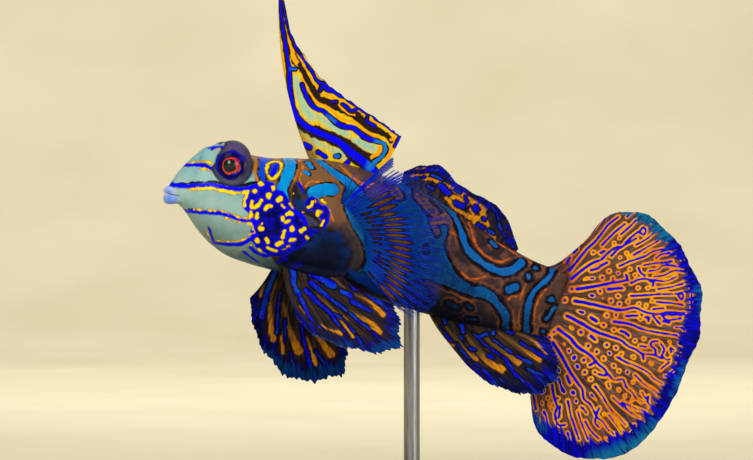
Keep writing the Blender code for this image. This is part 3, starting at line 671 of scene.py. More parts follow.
flank = on_flank(points_of(skin))
seen = in_picture(left_flank(flank))
bands = outside_strokes(flank, BANDS, on_skin)
field = np.maximum(outside_area(seen, BLUE_FIELD), -outside_strokes(flank, BROWN_ISLANDS, on_skin))
field = np.maximum(field, -outside_strokes(flank, [BROWN_BAND], on_skin))
add_attribute(skin, "bands", np.minimum(bands, field))
rim = np.interp(flank[:, 0], (20, 32), (0.16, 0.42))
add_attribute(skin, "band_rims", np.minimum(bands, field) - rim)
add_attribute(skin, "field", field)
add_attribute(skin, "cheek", np.minimum(outside_area(seen, CHEEK), outside_area(seen, CHEEK_LOBE)))
for name, strokes in (
    ("face_lines", FACE_LINES),
    ("dark_lines", DARK_LINES),
    ("yellow", YELLOW_LINES),
    ("orange", ORANGE_LINES),
    ("deep", DEEP_BLUE),
    ("below_fin", [BELOW_FIN]),
    ("crescent", [CRESCENT]),
):
    add_attribute(skin, name, outside_strokes(flank, strokes, on_skin))
for name, outline, reach in (
    ("face", FACE, 1.5),
    ("lips", LIPS_AREA, 1.5),
    ("grey", SHOULDER_GREY, 1.5),
    ("blade", CHEEK_SPINE, 1.5),
    ("navy", NAVY_BELLY, 2),
    ("shoulder", SHOULDER, 2),
    ("shaded", SHADED_BELLY, 3),
):
    add_attribute(skin, name, outside_area(seen, outline, reach))
bulge = on_flank(beside(BULGE_STATION, BULGE_HEIGHT, EYE_ASIDE, -1)[None])
off = (flank - bulge)[:, (0, 2)] / (BULGE_RADII[0], BULGE_RADII[2])
round_away = np.linalg.norm(flank - bulge, axis=1) - BULGE_REACH
from_bulge = np.maximum((np.hypot(*off.T) - 1) * 2.9, round_away)
add_attribute(skin, "from_bulge", np.maximum(from_bulge, -outside_area(seen, BARE_BROW)))
axis = np.cross(left_flank(flank) - eye_centre(-1), eye_look(-1))
behind = (left_flank(flank) - eye_centre(-1)) @ eye_look(-1) < -1
add_attribute(skin, "from_eye", np.linalg.norm(axis, axis=1) + behind * 9)
add_attribute(skin, "height", flank[:, 2])
add_attribute(skin, "station", flank[:, 0])


def dress(piece, material, slot, *nodes):
    """Finishes a piece: metres, its material, and what it rides on and replaces."""
    in_metres(piece)
    piece.data.materials.append(material)
    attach(piece, "root")
    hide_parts(*nodes)


def linear(code):
    """A colour from its sRGB hex code."""
    parts = [int(code[i : i + 2], 16) / 255 for i in (1, 3, 5)]
    return (*[p / 12.92 if p <= 0.04045 else ((p + 0.055) / 1.055) ** 2.4 for p in parts], 1)


def new_material(name, roughness, **sockets):
    """A material whose one shader has these values on its own sockets."""
    material = bpy.data.materials.new(name)
    material.use_nodes = True
    shader = material.node_tree.nodes["Principled BSDF"]
    shader.inputs["Roughness"].default_value = roughness
    for socket, value in sockets.items():
        shader.inputs[socket.replace("_", " ")].default_value = value
    return material, shader


def add_node(material, kind, links=(), **settings):
    node = material.node_tree.nodes.new(kind)
    for name, value in settings.items():
        setattr(node, name, value)
    for socket, value in dict(links).items():
        if isinstance(value, bpy.types.NodeSocket):
            material.node_tree.links.new(value, node.inputs[socket])
        else:
            node.inputs[socket].default_value = value
    return node


def connect(material, value, shader, socket):
    material.node_tree.links.new(value, shader.inputs[socket])


def spread(material, name, wobble=None, amount=0.0):
    """An attribute's value, unsettled a little by a noise so that its edges look grown."""
    value = add_node(material, "ShaderNodeAttribute", attribute_name=name).outputs["Fac"]
    if wobble is None:
        return value
    moved = add_node(material, "ShaderNodeMath", {0: wobble, 1: amount, 2: value}, operation="MULTIPLY_ADD")
    return moved.outputs[0]


def painted(material, under, colour, away, edge=0.0, soft=0.04, strength=1.0):
    """A colour laid over another where a distance is less than an edge."""
    ends = {"Value": away, "From Min": edge + soft, "From Max": edge - soft, "To Max": strength}
    share = add_node(material, "ShaderNodeMapRange", ends).outputs[0]
    colour = linear(colour) if isinstance(colour, str) else colour
    under = linear(under) if isinstance(under, str) else under
    mixed = add_node(material, "ShaderNodeMix", {0: share, 6: under, 7: colour}, data_type="RGBA")
    return mixed.outputs[2]


def layered(material, colour, *layers):
    """Colours laid over one another in turn, each with what painted asks for."""
    for layer in layers:
        colour = painted(material, colour, *layer)
    return colour


def centred_noise(material, size, place=None, detail=2.0):
    """A noise about nought, whose lumps are about this many millimetres across."""
    place = place or add_node(material, "ShaderNodeTexCoord").outputs["Object"]
    wanted = {"Vector": place, "Scale": 1000 / size, "Detail": detail}
    noise = add_node(material, "ShaderNodeTexNoise", wanted).outputs["Fac"]
    return add_node(material, "ShaderNodeMath", {0: noise, 1: 0.5}, operation="SUBTRACT").outputs[0]


def bumped(material, shader, height, depth):
    """Raises the surface by a height that runs over about one, times a depth in millimetres."""
    bump = {"Height": height, "Strength": 1.0, "Distance": depth / 1000}
    connect(material, add_node(material, "ShaderNodeBump", bump).outputs[0], shader, "Normal")


# Living skin under a film of mucus: soft colours from pigment cells, lit through a wet, clear coat.
fish_skin, shader = new_material(
    "mucus-coated fish skin", 0.45, Coat_Weight=0.05, Coat_Roughness=0.08, Specular_IOR_Level=0.03
)
wide = centred_noise(fish_skin, 5.0)
middling = centred_noise(fish_skin, 1.6)
fine = centred_noise(fish_skin, 0.35)
height = spread(fish_skin, "height", wide, 3.0)
station = spread(fish_skin, "station", wide, 4.0)
bands = spread(fish_skin, "bands", middling, 0.9)
cheek = spread(fish_skin, "cheek", middling, 0.5)
face = spread(fish_skin, "face", middling, 0.3)
ragged = centred_noise(fish_skin, 0.7)
yellow = spread(fish_skin, "yellow", ragged, 0.6)
face_lines = spread(fish_skin, "face_lines", ragged, 0.45)
orange = spread(fish_skin, "orange", ragged, 0.5)
shaded = spread(fish_skin, "shaded", wide, 2.0)

# The brown ground, redder on the tail and more orange on the nape, and darkened towards the belly by painted
# shade
ground = layered(
    fish_skin,
    "#2E2228",
    ("#443030", wide, 0.0, 0.14),
    ("#5A4048", middling, -0.06, 0.1, 0.5),
    ("#7C5838", station, 24.0, 3.0),
    ("#8A5A34", middling, -0.08, 0.08, 0.3),
    # painted shade: the ground darkens below the midline, towards the belly
    ("#1C1A24", height, -2.0, 2.5, 0.8),
    ("#4E362E", station, 51.5, -2.5, 0.85),
)
# Round each turquoise band runs a black line, and round that a broken orange one
rims = spread(fish_skin, "band_rims", ragged, 0.8)
ring = add_node(fish_skin, "ShaderNodeMath", {0: rims, 1: 0.26}, operation="SUBTRACT").outputs[0]
ring = add_node(fish_skin, "ShaderNodeMath", {0: ring}, operation="ABSOLUTE").outputs[0]
ring = add_node(fish_skin, "ShaderNodeMath", {0: wide, 1: 0.7, 2: ring}, operation="MULTIPLY_ADD").outputs[0]
golden = painted(fish_skin, "#D0601C", "#C8801C", station, 24.0, 3.0)
turquoise = layered(
    fish_skin,
    "#0490DC",
    ("#0560B4", station, 24.0, -5.0),
    # painted shade: the turquoise darkens lower on the body, towards the belly
    ("#06305A", height, -1.5, 4.0),
    ("#0640D0", station, 14.2, 0.5),
    ("#02245A", spread(fish_skin, "field", wide, 2.0), 0.0, 0.5, 0.8),
    ("#0A5090", middling, -0.05, 0.1, 0.5),
    ("#2A94C8", fine, -0.12, 0.08, 0.2),
)

# The face: pale grey-green, greyer, bluer and darker below, partly with painted shade, and lilac lips
lip_blue = layered(
    fish_skin,
    "#7C9CEC",
    # the upper lip is whiter: partly its own colour, partly a painted highlight
    ("#C4CCF6", height, 0.1, -0.7),
    ("#4A72DC", middling, -0.05, 0.1, 0.7),
)
pale = layered(
    fish_skin,
    "#7AB4BE",
    # greyer, bluer and darker towards the throat: partly the face's own colour, partly painted shade
    ("#90B2AC", height, 3.0, 2.0),
    ("#687F76", height, -3.0, 2.2),
    ("#44647E", height, -6.2, 1.4),
    ("#6E9AA0", middling, -0.04, 0.12, 0.6),
    ("#A6BEAE", wide, -0.1, 0.12, 0.5),
    (lip_blue, spread(fish_skin, "lips", middling, 0.8), 0.0, 0.35),
)

# The cheek: navy, turning to bright blue round each yellow dot
cell = {0: wide, 1: 1.6, 2: yellow}
cell = add_node(fish_skin, "ShaderNodeMath", cell, operation="MULTIPLY_ADD").outputs[0]
edge = add_node(fish_skin, "ShaderNodeMath", {0: cheek, 1: -1.0}, operation="MULTIPLY").outputs[0]
navy = layered(
    fish_skin,
    "#020250",
    ("#0404A0", centred_noise(fish_skin, 1.0), -0.02, 0.06),
    ("#0404E4", cell, 0.24, 0.16),
    ("#0404E6", edge, 0.26, 0.15, 0.9),
    ("#03032C", yellow, 0.1, 0.05, 0.85),
)
murky = painted(fish_skin, "#030510", "#06285C", middling, -0.02, 0.1)
blade = spread(fish_skin, "blade", ragged, 0.3)

# The eye bulges: dusky purple above, lilac grey below, and a dark rim with broken blue round the eye
from_bulge = spread(fish_skin, "from_bulge", wide, 0.3)
from_eye = spread(fish_skin, "from_eye", middling, 0.9)
dusk = layered(
    fish_skin,
    "#524870",
    ("#606E6A", height, 4.0, 2.2),
    ("#4E4062", middling, -0.03, 0.12, 0.5),
)
dusk = painted(fish_skin, "#34344E", dusk, from_bulge, -0.35, 0.35)
patch = painted(fish_skin, "#04054C", "#0A0CC0", middling, -0.02, 0.06)

colour = layered(
    fish_skin,
    ground,
    ("#3C3838", spread(fish_skin, "grey", middling, 0.4), 0.0, 0.15),
    ("#181420", spread(fish_skin, "shoulder", wide, 2.5), 0.0, 0.35, 0.85),
    ("#9A5A20", ring, 0.02, 0.12, 0.6),
    ("#8A4A20", orange, 0.1, 0.14, 0.7),
    (golden, orange, -0.02, 0.07, 0.9),
    ("#140A12", rims, 0.0, 0.14),
    (turquoise, bands, 0.0, 0.05),
    (pale, face, 0.0, 0.1),
    ("#2E2C2E", spread(fish_skin, "crescent", wide, 1.0), 0.1, 0.4, 0.8),
    (murky, spread(fish_skin, "navy", wide, 3.0), 0.0, 0.7),
    ("#062C74", spread(fish_skin, "deep", middling, 1.0), 0.0, 0.16, 0.8),
    (navy, cheek, 0.0, 0.06),
    ("#14122A", blade, 0.35, 0.25, 0.8),
    ("#3E3C4A", blade, 0.0, 0.08),
    ("#10101C", spread(fish_skin, "dark_lines", ragged, 0.5), 0.0, 0.06),
    ("#10102C", face_lines, 0.1, 0.05, 0.6),
    ("#0500F0", face_lines, 0.0, 0.05),
    ("#A87408", yellow, 0.03, 0.04),
    ("#FFD800", yellow, -0.05, 0.05),
    ("#0A0F24", shaded, -0.5, 1.4, 0.85),
    ("#073088", spread(fish_skin, "below_fin", middling, 1.5), 0.0, 0.3, 0.9),
    ("#20203C", from_bulge, 0.1, 0.12),
    (dusk, from_bulge, -0.06, 0.1),
    ("#060848", from_eye, 1.98, 0.14),
    (patch, from_eye, 1.88, 0.08),
    ("#040540", from_eye, 1.64, 0.08),
)
connect(fish_skin, colour, shader, "Base Color")
bumped(fish_skin, shader, fine, 0.03)
dress(skin, fish_skin, "fish_skin", "head", "trunk", "tail")


# The eyeballs: a clear, domed cornea over a dark pupil and a red iris, turned a little to the front and
# held by the skin's lids.
DOME_RADIUS, DOME_HEIGHT = 0.75, 0.14


def away_from(points, centre, look):
    """How far points are from the line of an eye's look."""
    return np.linalg.norm(np.cross(points - centre, look), axis=1)


# A wet cornea: one small, sharp highlight over soft-edged rings of colour, with a soft reflection painted
# into the middle of the pupil.
eyeball, shader = new_material(
    "wet cornea over an iris", 0.12, Coat_Weight=0.5, Coat_Roughness=0.02, Specular_IOR_Level=0.15
)
grain = centred_noise(eyeball, 0.5)
from_pupil = spread(eyeball, "from_pupil", grain, 0.35)
upward = spread(eyeball, "upward", grain, 0.6)
iris = layered(
    eyeball,
    "#B0142C",
    ("#E85A1C", upward, -0.6, 0.3),
    ("#7A0A1E", grain, -0.08, 0.06, 0.6),
)
rim = painted(eyeball, "#040648", "#0608B4", centred_noise(eyeball, 1.5), -0.04, 0.04)
from_iris = spread(eyeball, "from_pupil", centred_noise(eyeball, 1.2), 1.8)
colour = layered(
    eyeball,
    rim,
    (iris, from_iris, 1.26, 0.06),
    ("#E03430", from_pupil, 1.02, 0.05),
    ("#050A0C", from_pupil, 0.9, 0.04),
    # painted reflection: the middle of the pupil is lightened to a dark teal
    ("#12302C", from_pupil, 0.4, 0.3, 0.6),
)
connect(eyeball, colour, shader, "Base Color")

for side, word in ((-1, "left"), (1, "right")):
    centre, look = eye_centre(side), eye_look(side)
    eye = ball(f"eye_{word}_wet", centre, (EYE_RADIUS,) * 3, 96, 64)
    points = points_of(eye)
    ahead = (points - centre) @ look
    dome = DOME_HEIGHT * np.exp(-((away_from(points, centre, look) / DOME_RADIUS) ** 2)) * (ahead > 0)
    move_points(eye, points + look * dome[:, None])
    add_attribute(eye, "from_pupil", away_from(points, centre, look) + (ahead < 0) * 9)
    add_attribute(eye, "upward", points[:, 2] - centre[2])
    dress(eye, eyeball, "eye", f"eye_{word}")


# The first dorsal fin is a sail on four spines, the first one long and whip-like. The membrane is thin
# skin on both faces of the spines, with blue lines edged in black over yellow and green.
GAP = 0.3  # between the solids of fin and body, from which the fins' tips are measured
SUNK = 0.5  # how deep a fin's roots go into the flesh
FIRST_DORSAL = (
    (18.95, 25.0, 112.7),
    (19.4, 17.3, 114.0),
    (20.4, 14.2, 114.0),
    (21.4, 11.8, 113.5),
    (22.6, 9.8, 109.5),
    (23.9, 8.1, 101.0),
    (25.1, 6.8, 82.0),
    (26.4, 6.2, 76.7),
    (27.7, 5.7, 77.0),
)  # ray by ray: station of its root, length, angle up from the tailward direction


def ray_directions(stations, angles, outward, flare):
    """Directions at an angle up from tailward, turned out from the flank by flare."""
    tailward, _, upward = directions(stations)
    turn, out = np.radians(angles)[:, None], np.radians(flare)[:, None]
    level = np.cos(turn) * tailward + np.sin(turn) * upward
    return np.cos(out) * level + np.sin(out) * outward


def median_guides(table, angle, bow=(0.0, 0.0), swing=(0.0, 0.0)):
    """Roots, bends and tips of a fin on the back (angle 0) or the belly (angle 180)."""
    stations, lengths, turns = np.array(table).T
    roots = body_point(stations, angle, GAP)
    tailward, rightward, _ = directions(stations)
    ways = ray_directions(stations, turns, rightward, np.linspace(*swing, len(stations)))
    tips = roots + ways * lengths[:, None]
    bends = roots + (tips - roots) * 0.4 - tailward * (np.linspace(*bow, len(stations)) * lengths)[:, None]
    return roots, bends, tips, midline(stations) - roots


def fan_surface(guides, across, out, wave):
    """The middle of a fin's membrane, at shares across it and out along its rays."""
    known = np.linspace(0, 1, len(guides[0]))
    root, bend, tip, inward = (smooth(across, known, guide) for guide in guides)
    part = out[..., None]
    middle = (1 - part) ** 2 * root + 2 * part * (1 - part) * bend + part**2 * tip
    normal = np.cross(np.gradient(middle, axis=1), np.gradient(middle, axis=0))
    normal /= np.linalg.norm(normal, axis=2, keepdims=True)
    size, count, start = wave
    ripple = size * out**1.5 * np.sin(2 * math.pi * (count * across + start))
    middle = middle + normal * ripple[..., None]
    inward /= np.linalg.norm(inward, axis=2, keepdims=True)
    return middle + inward * (SUNK + GAP) * (1 - part) ** 4, normal


def fin(
    name,
    guides,
    rays,
    columns,
    rows,
    scallop=0.0,
    wave=(0, 1, 0),
    ray_radius=0.12,
    forks=(0.4, 0.7),
    teeth=0.006,
    single=0.0,
):
    """A closed fin with a ridge along each ray on both faces. Rays fork once or twice on their way out.
    They are evenly spaced, or counted at some shares across the fin, and those before single don't fork.

    It also gives the middle of its membrane, the share across it, and the way out from the roots.
    """
    piece = primitive(
        name, bpy.ops.mesh.primitive_grid_add, x_subdivisions=columns - 1, y_subdivisions=rows - 1, size=2
    )
    across, out = ((points_of(piece)[:, k] + 1).reshape(rows, columns) / 2 for k in (0, 1))
    apply(piece, "SOLIDIFY", thickness=0.1, offset=0)
    passed = across * (rays - 1) if isinstance(rays, int) else np.interp(across, *zip(*rays))
    from_ray = np.abs((passed + 0.5) % 1 - 0.5)
    first, second = (0.24 * np.clip((out - start) / (1.001 - start), 0, 1) for start in forks)
    forking = np.clip((across - single) * 10, 0, 1) if single else 1
    forked = np.abs(np.abs(from_ray - first * forking) - second * forking / 2)
    out = out * (1 - scallop * np.clip(2 * from_ray, 0, 1) * out)
    ragged = np.sin(passed * 23) + np.sin(passed * 37 + 1)
    out = out - teeth * ragged * np.clip(out * 8 - 7, 0, 1)
    middle, normal = fan_surface(guides, across, out, wave)
    apart = np.linalg.norm(np.gradient(middle, axis=1), axis=2) / np.gradient(passed, axis=1)
    radius = ray_radius * (1 - 0.55 * out)
    crest = np.exp(-((forked * apart / (radius * 1.1)) ** 2))
    half = (0.05 + radius * crest) * np.clip((1.02 - out) * 14, 0.35, 1)
    faces = np.concatenate([(middle + normal * side * half[..., None]).reshape(-1, 3) for side in (1, -1)])
    move_points(piece, faces)
    close(piece)
    travelled = np.linalg.norm(np.diff(middle, axis=0, prepend=middle[:1]), axis=2).cumsum(0)
    rim = np.linalg.norm(np.diff(middle[-1], axis=0), axis=1).sum()
    add_both(piece, "ray", crest)
    add_both(piece, "from_edge", travelled[-1] - travelled)
    add_both(piece, "from_root", travelled - SUNK - GAP)
    along_rays = np.stack([across * rim, travelled * 0.1, 0 * out], -1).reshape(-1, 3) / 1000
    in_fin = piece.data.attributes.new("in_fin", "FLOAT_VECTOR", "POINT")
    in_fin.data.foreach_set("vector", np.tile(along_rays, (2, 1)).astype(np.float32).ravel())
    return piece, middle, across, travelled


def add_both(piece, name, values):
    """An attribute that is the same on both faces of a fin."""
    add_attribute(piece, name, np.tile(values.ravel(), 2))


def flat(line):
    """Places in the picture as millimetres, for a fin that is seen square on."""
    return line * PICTURE_MM


def mark(piece, middle, **markings):
    """Sets strokes down on a fin, those of each name in an attribute of their own."""
    seen = flat(in_picture(middle).reshape(-1, 2))
    for name, strokes in markings.items():
        add_both(piece, name, outside_strokes(seen, strokes, flat))


def streaked_noise(material, size, detail=2.0):
    """A noise about nought that is drawn out tenfold along the rays of a fin."""
    place = add_node(material, "ShaderNodeAttribute", attribute_name="in_fin").outputs["Vector"]
    return centred_noise(material, size, place, detail)


SAIL_BLUE = (
    ((0.1, 0.17), "278.8 -13.8 280 0 282 23 284.1 36.7 286 49.4 287.6 59.7"),
    ((0.17, 0.24), "287.6 59.7 289.3 68.9 289.5 80.4 290.4 91.8 292.1 101"),
    ((0.24, 0.38), "292.1 101 295.1 112.5 299.7 120.8 306.6 126.5 314.4 130.9"),
    ((0.38, 0.44), "314.4 130.9 322.4 134.3 329.3 137.3 338.5 141.9 345.4 147.2"),
    ((0.46, 0.6), "345.4 147.2 351.1 152.7 358 157.5 364 162.4 368.9 167 372.9 171"),
    (0.2, "289.7 68.6 295.1 69.1"),
    ((0.17, 0.26), "302 84.4 304.6 91.8 308 99 312.3 105.6 317.2 109.1 322.6 110.4 328.1 115.5"),
    ((0.26, 0.3), "328.1 115.5 333.9 120.5 339.6 124.6 345.4 126.7 352.2 127.7 358.2 132.2 364 136.6"),
    ((0.27, 0.22), "364 136.6 370.6 139.6 377.5 141.4 383.8 143.7 385.5 148.3 383.7 154.1 379.3 158.9"),
    ((0.24, 0.3), "379.3 158.9 374.6 161.9 371.2 166.5"),
    (
        (0.05, 0.12),
        "283.4 2.3 284.7 12.6 288 26.6 292.6 40.4 298.5 51.9 305.4 62.2 312.3 72.6 315.7 79.2 321.3 83.8",
    ),
    (
        0.1,
        "322.4 82.9 329.3 87.7 336.2 93.2 343.1 96.7 350 101.3 356.8 105.8 364 111.6 370.8 113.9"
        " 375.4 118.5",
    ),
    (0.12, "375.4 118.5 383.2 123.1 391.3 130 399.5 135.7 397.2 141.4 395 146"),
    (0.13, "320.1 90.7 322.4 86.3 328.1 90.7 334.1 92.1 338.7 95.3 345.4 97.8"),
    (0.13, "332.2 101.7 336.7 101.7"),
    (0.13, "342.6 104 347.7 107.9 350.2 110.8 356.8 109.1"),
    (0.13, "367.7 115 367.2 121.7 371.8 124.2 375.4 126.5"),
    ((0.2, 0.3), "304.7 143.5 309.5 146.9"),
    (0.26, "318.5 152 325.8 157"),
    (0.24, "335.3 156.1 338.5 156.1"),
    ((0.18, 0.4), "348.6 160.9 345.4 165.5"),
)
SAIL_DARK = (
    ((0.34, 0.55), "299.4 64.3 304.6 74.6 310.9 85.5 316.7 95.3 322.4 101"),
    ((0.5, 0.6), "322.4 101 329.3 103.3 338.5 107.9 347.7 111.9 356.8 115.9"),
    ((0.6, 0.4), "356.8 115.9 362.6 121.7 368.3 126.9 375.2 129.7 382.1 132.6 387.8 136.8 391 140.5"),
    (0.16, "282.8 13.8 286.2 34.4 289.1 49.4 292.6 62.6 297.4 67.7"),
    ((0.2, 0.26), "291.6 45.9 295.1 54 299.4 64.3"),
    ((0.24, 0.36), "297.1 125.1 304 130.9 313.2 135.7 322.4 138.9 329.3 141.4 338.5 146"),
    ((0.3, 0.4), "338.5 146 344.2 150.6 350 157 356.8 162.8 364 168.8"),
    (
        (0.22, 0.44),
        "315.5 126 322.4 129.7 329.3 132.2 338.5 136.6 345.4 139.8 352.2 144.6 360.3 151.3 368.3 155.6"
        " 375.2 159",
    ),
)
SAIL_ORANGE = (
    (0.1, "280.5 20.7 282 34.4 283.4 45.9 284.7 63.1 285.7 80.4 288 97.8 291.6 113.9 295.8 125.1"),
    ((0.09, 0.3), "281.6 -6.9 282.2 2.3 284.1 13.8 286.8 26.6 289.7 39.3 292.3 49.6 293.9 57.4 296.2 62"),
    (0.09, "298.5 55.3 302.9 62.2 307.5 70.3 310.9 78.3 315.5 85.2 318 87"),
    (0.07, "315.5 74.6 322.6 82.2"),
    (0.2, "301.7 79.2 305.2 86.1 310.9 95.5 316.7 102.4 324.7 105.8 331.6 110.4 338.5 116.2 345.4 120.5"),
    (0.2, "345.4 120.5 353.4 121.9 360.3 126.5 366 132 374.1 135.7 380.9 138"),
    (0.1, "322.6 87.7 327 89.1 332.7 90"),
    (0.15, "321.3 95.5 327 94.8 332.7 96.7 336.2 100.1 343.1 100.1 350 103.5 355.7 107.7"),
    (0.13, "338.5 104.7 344.2 110.4 348.8 113.9 354.5 115"),
    (0.14, "358 109.3 362.6 112.7 366.3 117.3"),
    (0.14, "368.5 118.7 374.1 121.9 379.8 125.4 385.5 125.6 390.4 130 395.9 135.7"),
    ((0.2, 0.3), "390.8 139.6 394.7 139.1 393.8 146 390.4 152.9 386.5 159.8"),
    (0.34, "379.8 148.1 378.1 154.4 372.9 157.5"),
)
SAIL_GREEN = (
    ((0.36, 0.66), "296.2 78.1 297.7 87.5 301.2 100.1 305.9 110.2 312.1 116.5"),
    ((0.55, 0.5), "319 117.1 325.8 121.9 332.7 126 339.6 130.3 347.7 134.3"),
    ((0.5, 0.6), "355.7 140.3 364 144.9 372.9 148.3"),
    ((0.5, 0.55), "310.9 139.5 319 143.7 327 147.5 335 151 341.9 155"),
    (0.3, "302.3 132 308.6 136"),
    (0.3, "344.2 156.4 347.7 158.4"),
)
SAIL_TURQUOISE = (
    (0.5, "378.1 141.8 384.4 144.2 385.5 148.8 383.2 155 378.6 159.6 372.9 163 368.9 168.8"),
    (0.3, "335.3 156.1 338.5 156.1"),
    (0.16, "292.3 68.9 295.1 69.6"),
    (0.16, "327 115.9 333.9 120.8"),
)
SAIL_CORNER = [((0.2, 0.9), "299.4 128.6 305.2 142.3 310.3 157.3")]  # duller, above the nape

guides = median_guides(FIRST_DORSAL, 0, bow=(0.15, -0.05))
sail, middle, *_ = fin("first_dorsal_sail", guides, 4, 150, 220, ray_radius=0.2, forks=(1, 1))
mark(sail, middle, blue=SAIL_BLUE, dark=SAIL_DARK, orange=SAIL_ORANGE)
mark(sail, middle, green=SAIL_GREEN, turquoise=SAIL_TURQUOISE, corner=SAIL_CORNER)

# Thin fin skin: clear yellow and green that dark-edged lines stand out on, with little shine.
sail_skin, shader = new_material("thin fin skin, yellow and blue", 0.5, Specular_IOR_Level=0.05)
wide = centred_noise(sail_skin, 2.5)
fine = centred_noise(sail_skin, 0.9)
streaks = streaked_noise(sail_skin, 0.6)
blue = spread(sail_skin, "blue", fine, 0.3)
green = spread(sail_skin, "green", wide, 1.6)
blues = painted(sail_skin, "#0200F4", "#1478CC", spread(sail_skin, "turquoise", wide, 1.0), 0.0, 0.3)
colour = layered(
    sail_skin,
    "#F0C808",
    ("#D8A414", wide, -0.03, 0.1),
    ("#B4CC90", green, 0.0, 0.3, 0.9),
    ("#8CC6B4", green, -0.35, 0.3, 0.8),
    ("#7C6230", spread(sail_skin, "corner", wide, 2.0), 0.2, 0.8, 0.9),
    ("#8A6A28", streaks, -0.12, 0.06, 0.35),
    ("#2A1914", spread(sail_skin, "dark", fine, 0.6), 0.0, 0.08),
    ("#F4A404", spread(sail_skin, "orange", fine, 0.4), 0.0, 0.06),
    ("#1B0F0C", spread(sail_skin, "blue", wide, 0.7), 0.19, 0.05),
    (blues, blue, 0.0, 0.05),
    ("#0A1088", spread(sail_skin, "from_edge", fine, 0.5), 0.07, 0.04),
)
connect(sail_skin, colour, shader, "Base Color")
bumped(sail_skin, shader, fine, 0.02)
dress(sail, sail_skin, "dorsal_sail", "dorsal_fin_first")


# The second dorsal fin, the anal fin and the pelvic fins: soft, forked rays in a fleshy, dark membrane
# with orange streaks between the rays, black-ringed blue spots and a toothed blue margin.
SECOND_DORSAL = (
    (30.6, 1.3, 94.9),
    (32.6, 3.1, 95.0),
    (34.6, 4.3, 89.0),
    (36.8, 3.5, 83.5),
    (39.2, 3.5, 73.4),
    (41.6, 3.8, 69.9),
    (44.0, 3.1, 60.7),
    (48.3, 0.2, 20.0),
)
ANAL = (
    (39.9, 8.8, -28.0),
    (41.7, 10.9, -30.5),
    (43.6, 12.4, -28.5),
    (45.5, 13.2, -25.5),
    (47.4, 12.5, -19.0),
    (49.2, 11.0, -11.5),
    (50.9, 7.9, -2.0),
    (52.4, 4.7, 14.0),
    (53.9, 1.9, 36.0),
)
# Station and section angle of the root, length, angle, and how far it stands out from the flank
PELVIC_LEFT = (
    (17.6, 148.0, 6.5, -63.2, 22.0),
    (18.6, 147.0, 9.4, -57.8, 23.0),
    (19.8, 146.0, 12.3, -46.7, 24.0),
    (21.2, 145.0, 14.7, -35.1, 24.0),
    (22.8, 144.0, 15.2, -23.1, 22.0),
    (24.6, 142.0, 11.5, -12.5, 18.0),
    (26.6, 138.0, 7.9, -6.8, 14.0),
)
PELVIC_RIGHT = (
    (17.6, 148.0, 5.3, -114.0, 26.0),
    (18.6, 147.0, 9.0, -100.0, 26.0),
    (19.8, 146.0, 13.2, -86.0, 25.0),
    (21.2, 145.0, 16.6, -71.5, 24.0),
    (22.8, 144.0, 16.1, -55.0, 22.0),
    (24.6, 143.0, 11.5, -51.0, 20.0),
)


def paired_guides(side, table, rise=1.6):
    """Roots, bends and tips of a fin on one flank. It leaves the skin squarely, then sweeps back."""
    stations, angles, lengths, turns, flare = np.array(table).T
    roots = body_point(stations, side * angles, GAP)
    squarely = body_point(stations, side * angles, 1.0) - body_point(stations, side * angles)
    _, rightward, _ = directions(stations)
    ways = ray_directions(stations, turns, side * rightward, flare)
    tips = roots + squarely * rise * 0.5 + ways * lengths[:, None]
    bends = roots + squarely * rise + ways * lengths[:, None] * 0.22
    return roots, bends, tips, midline(stations) - roots


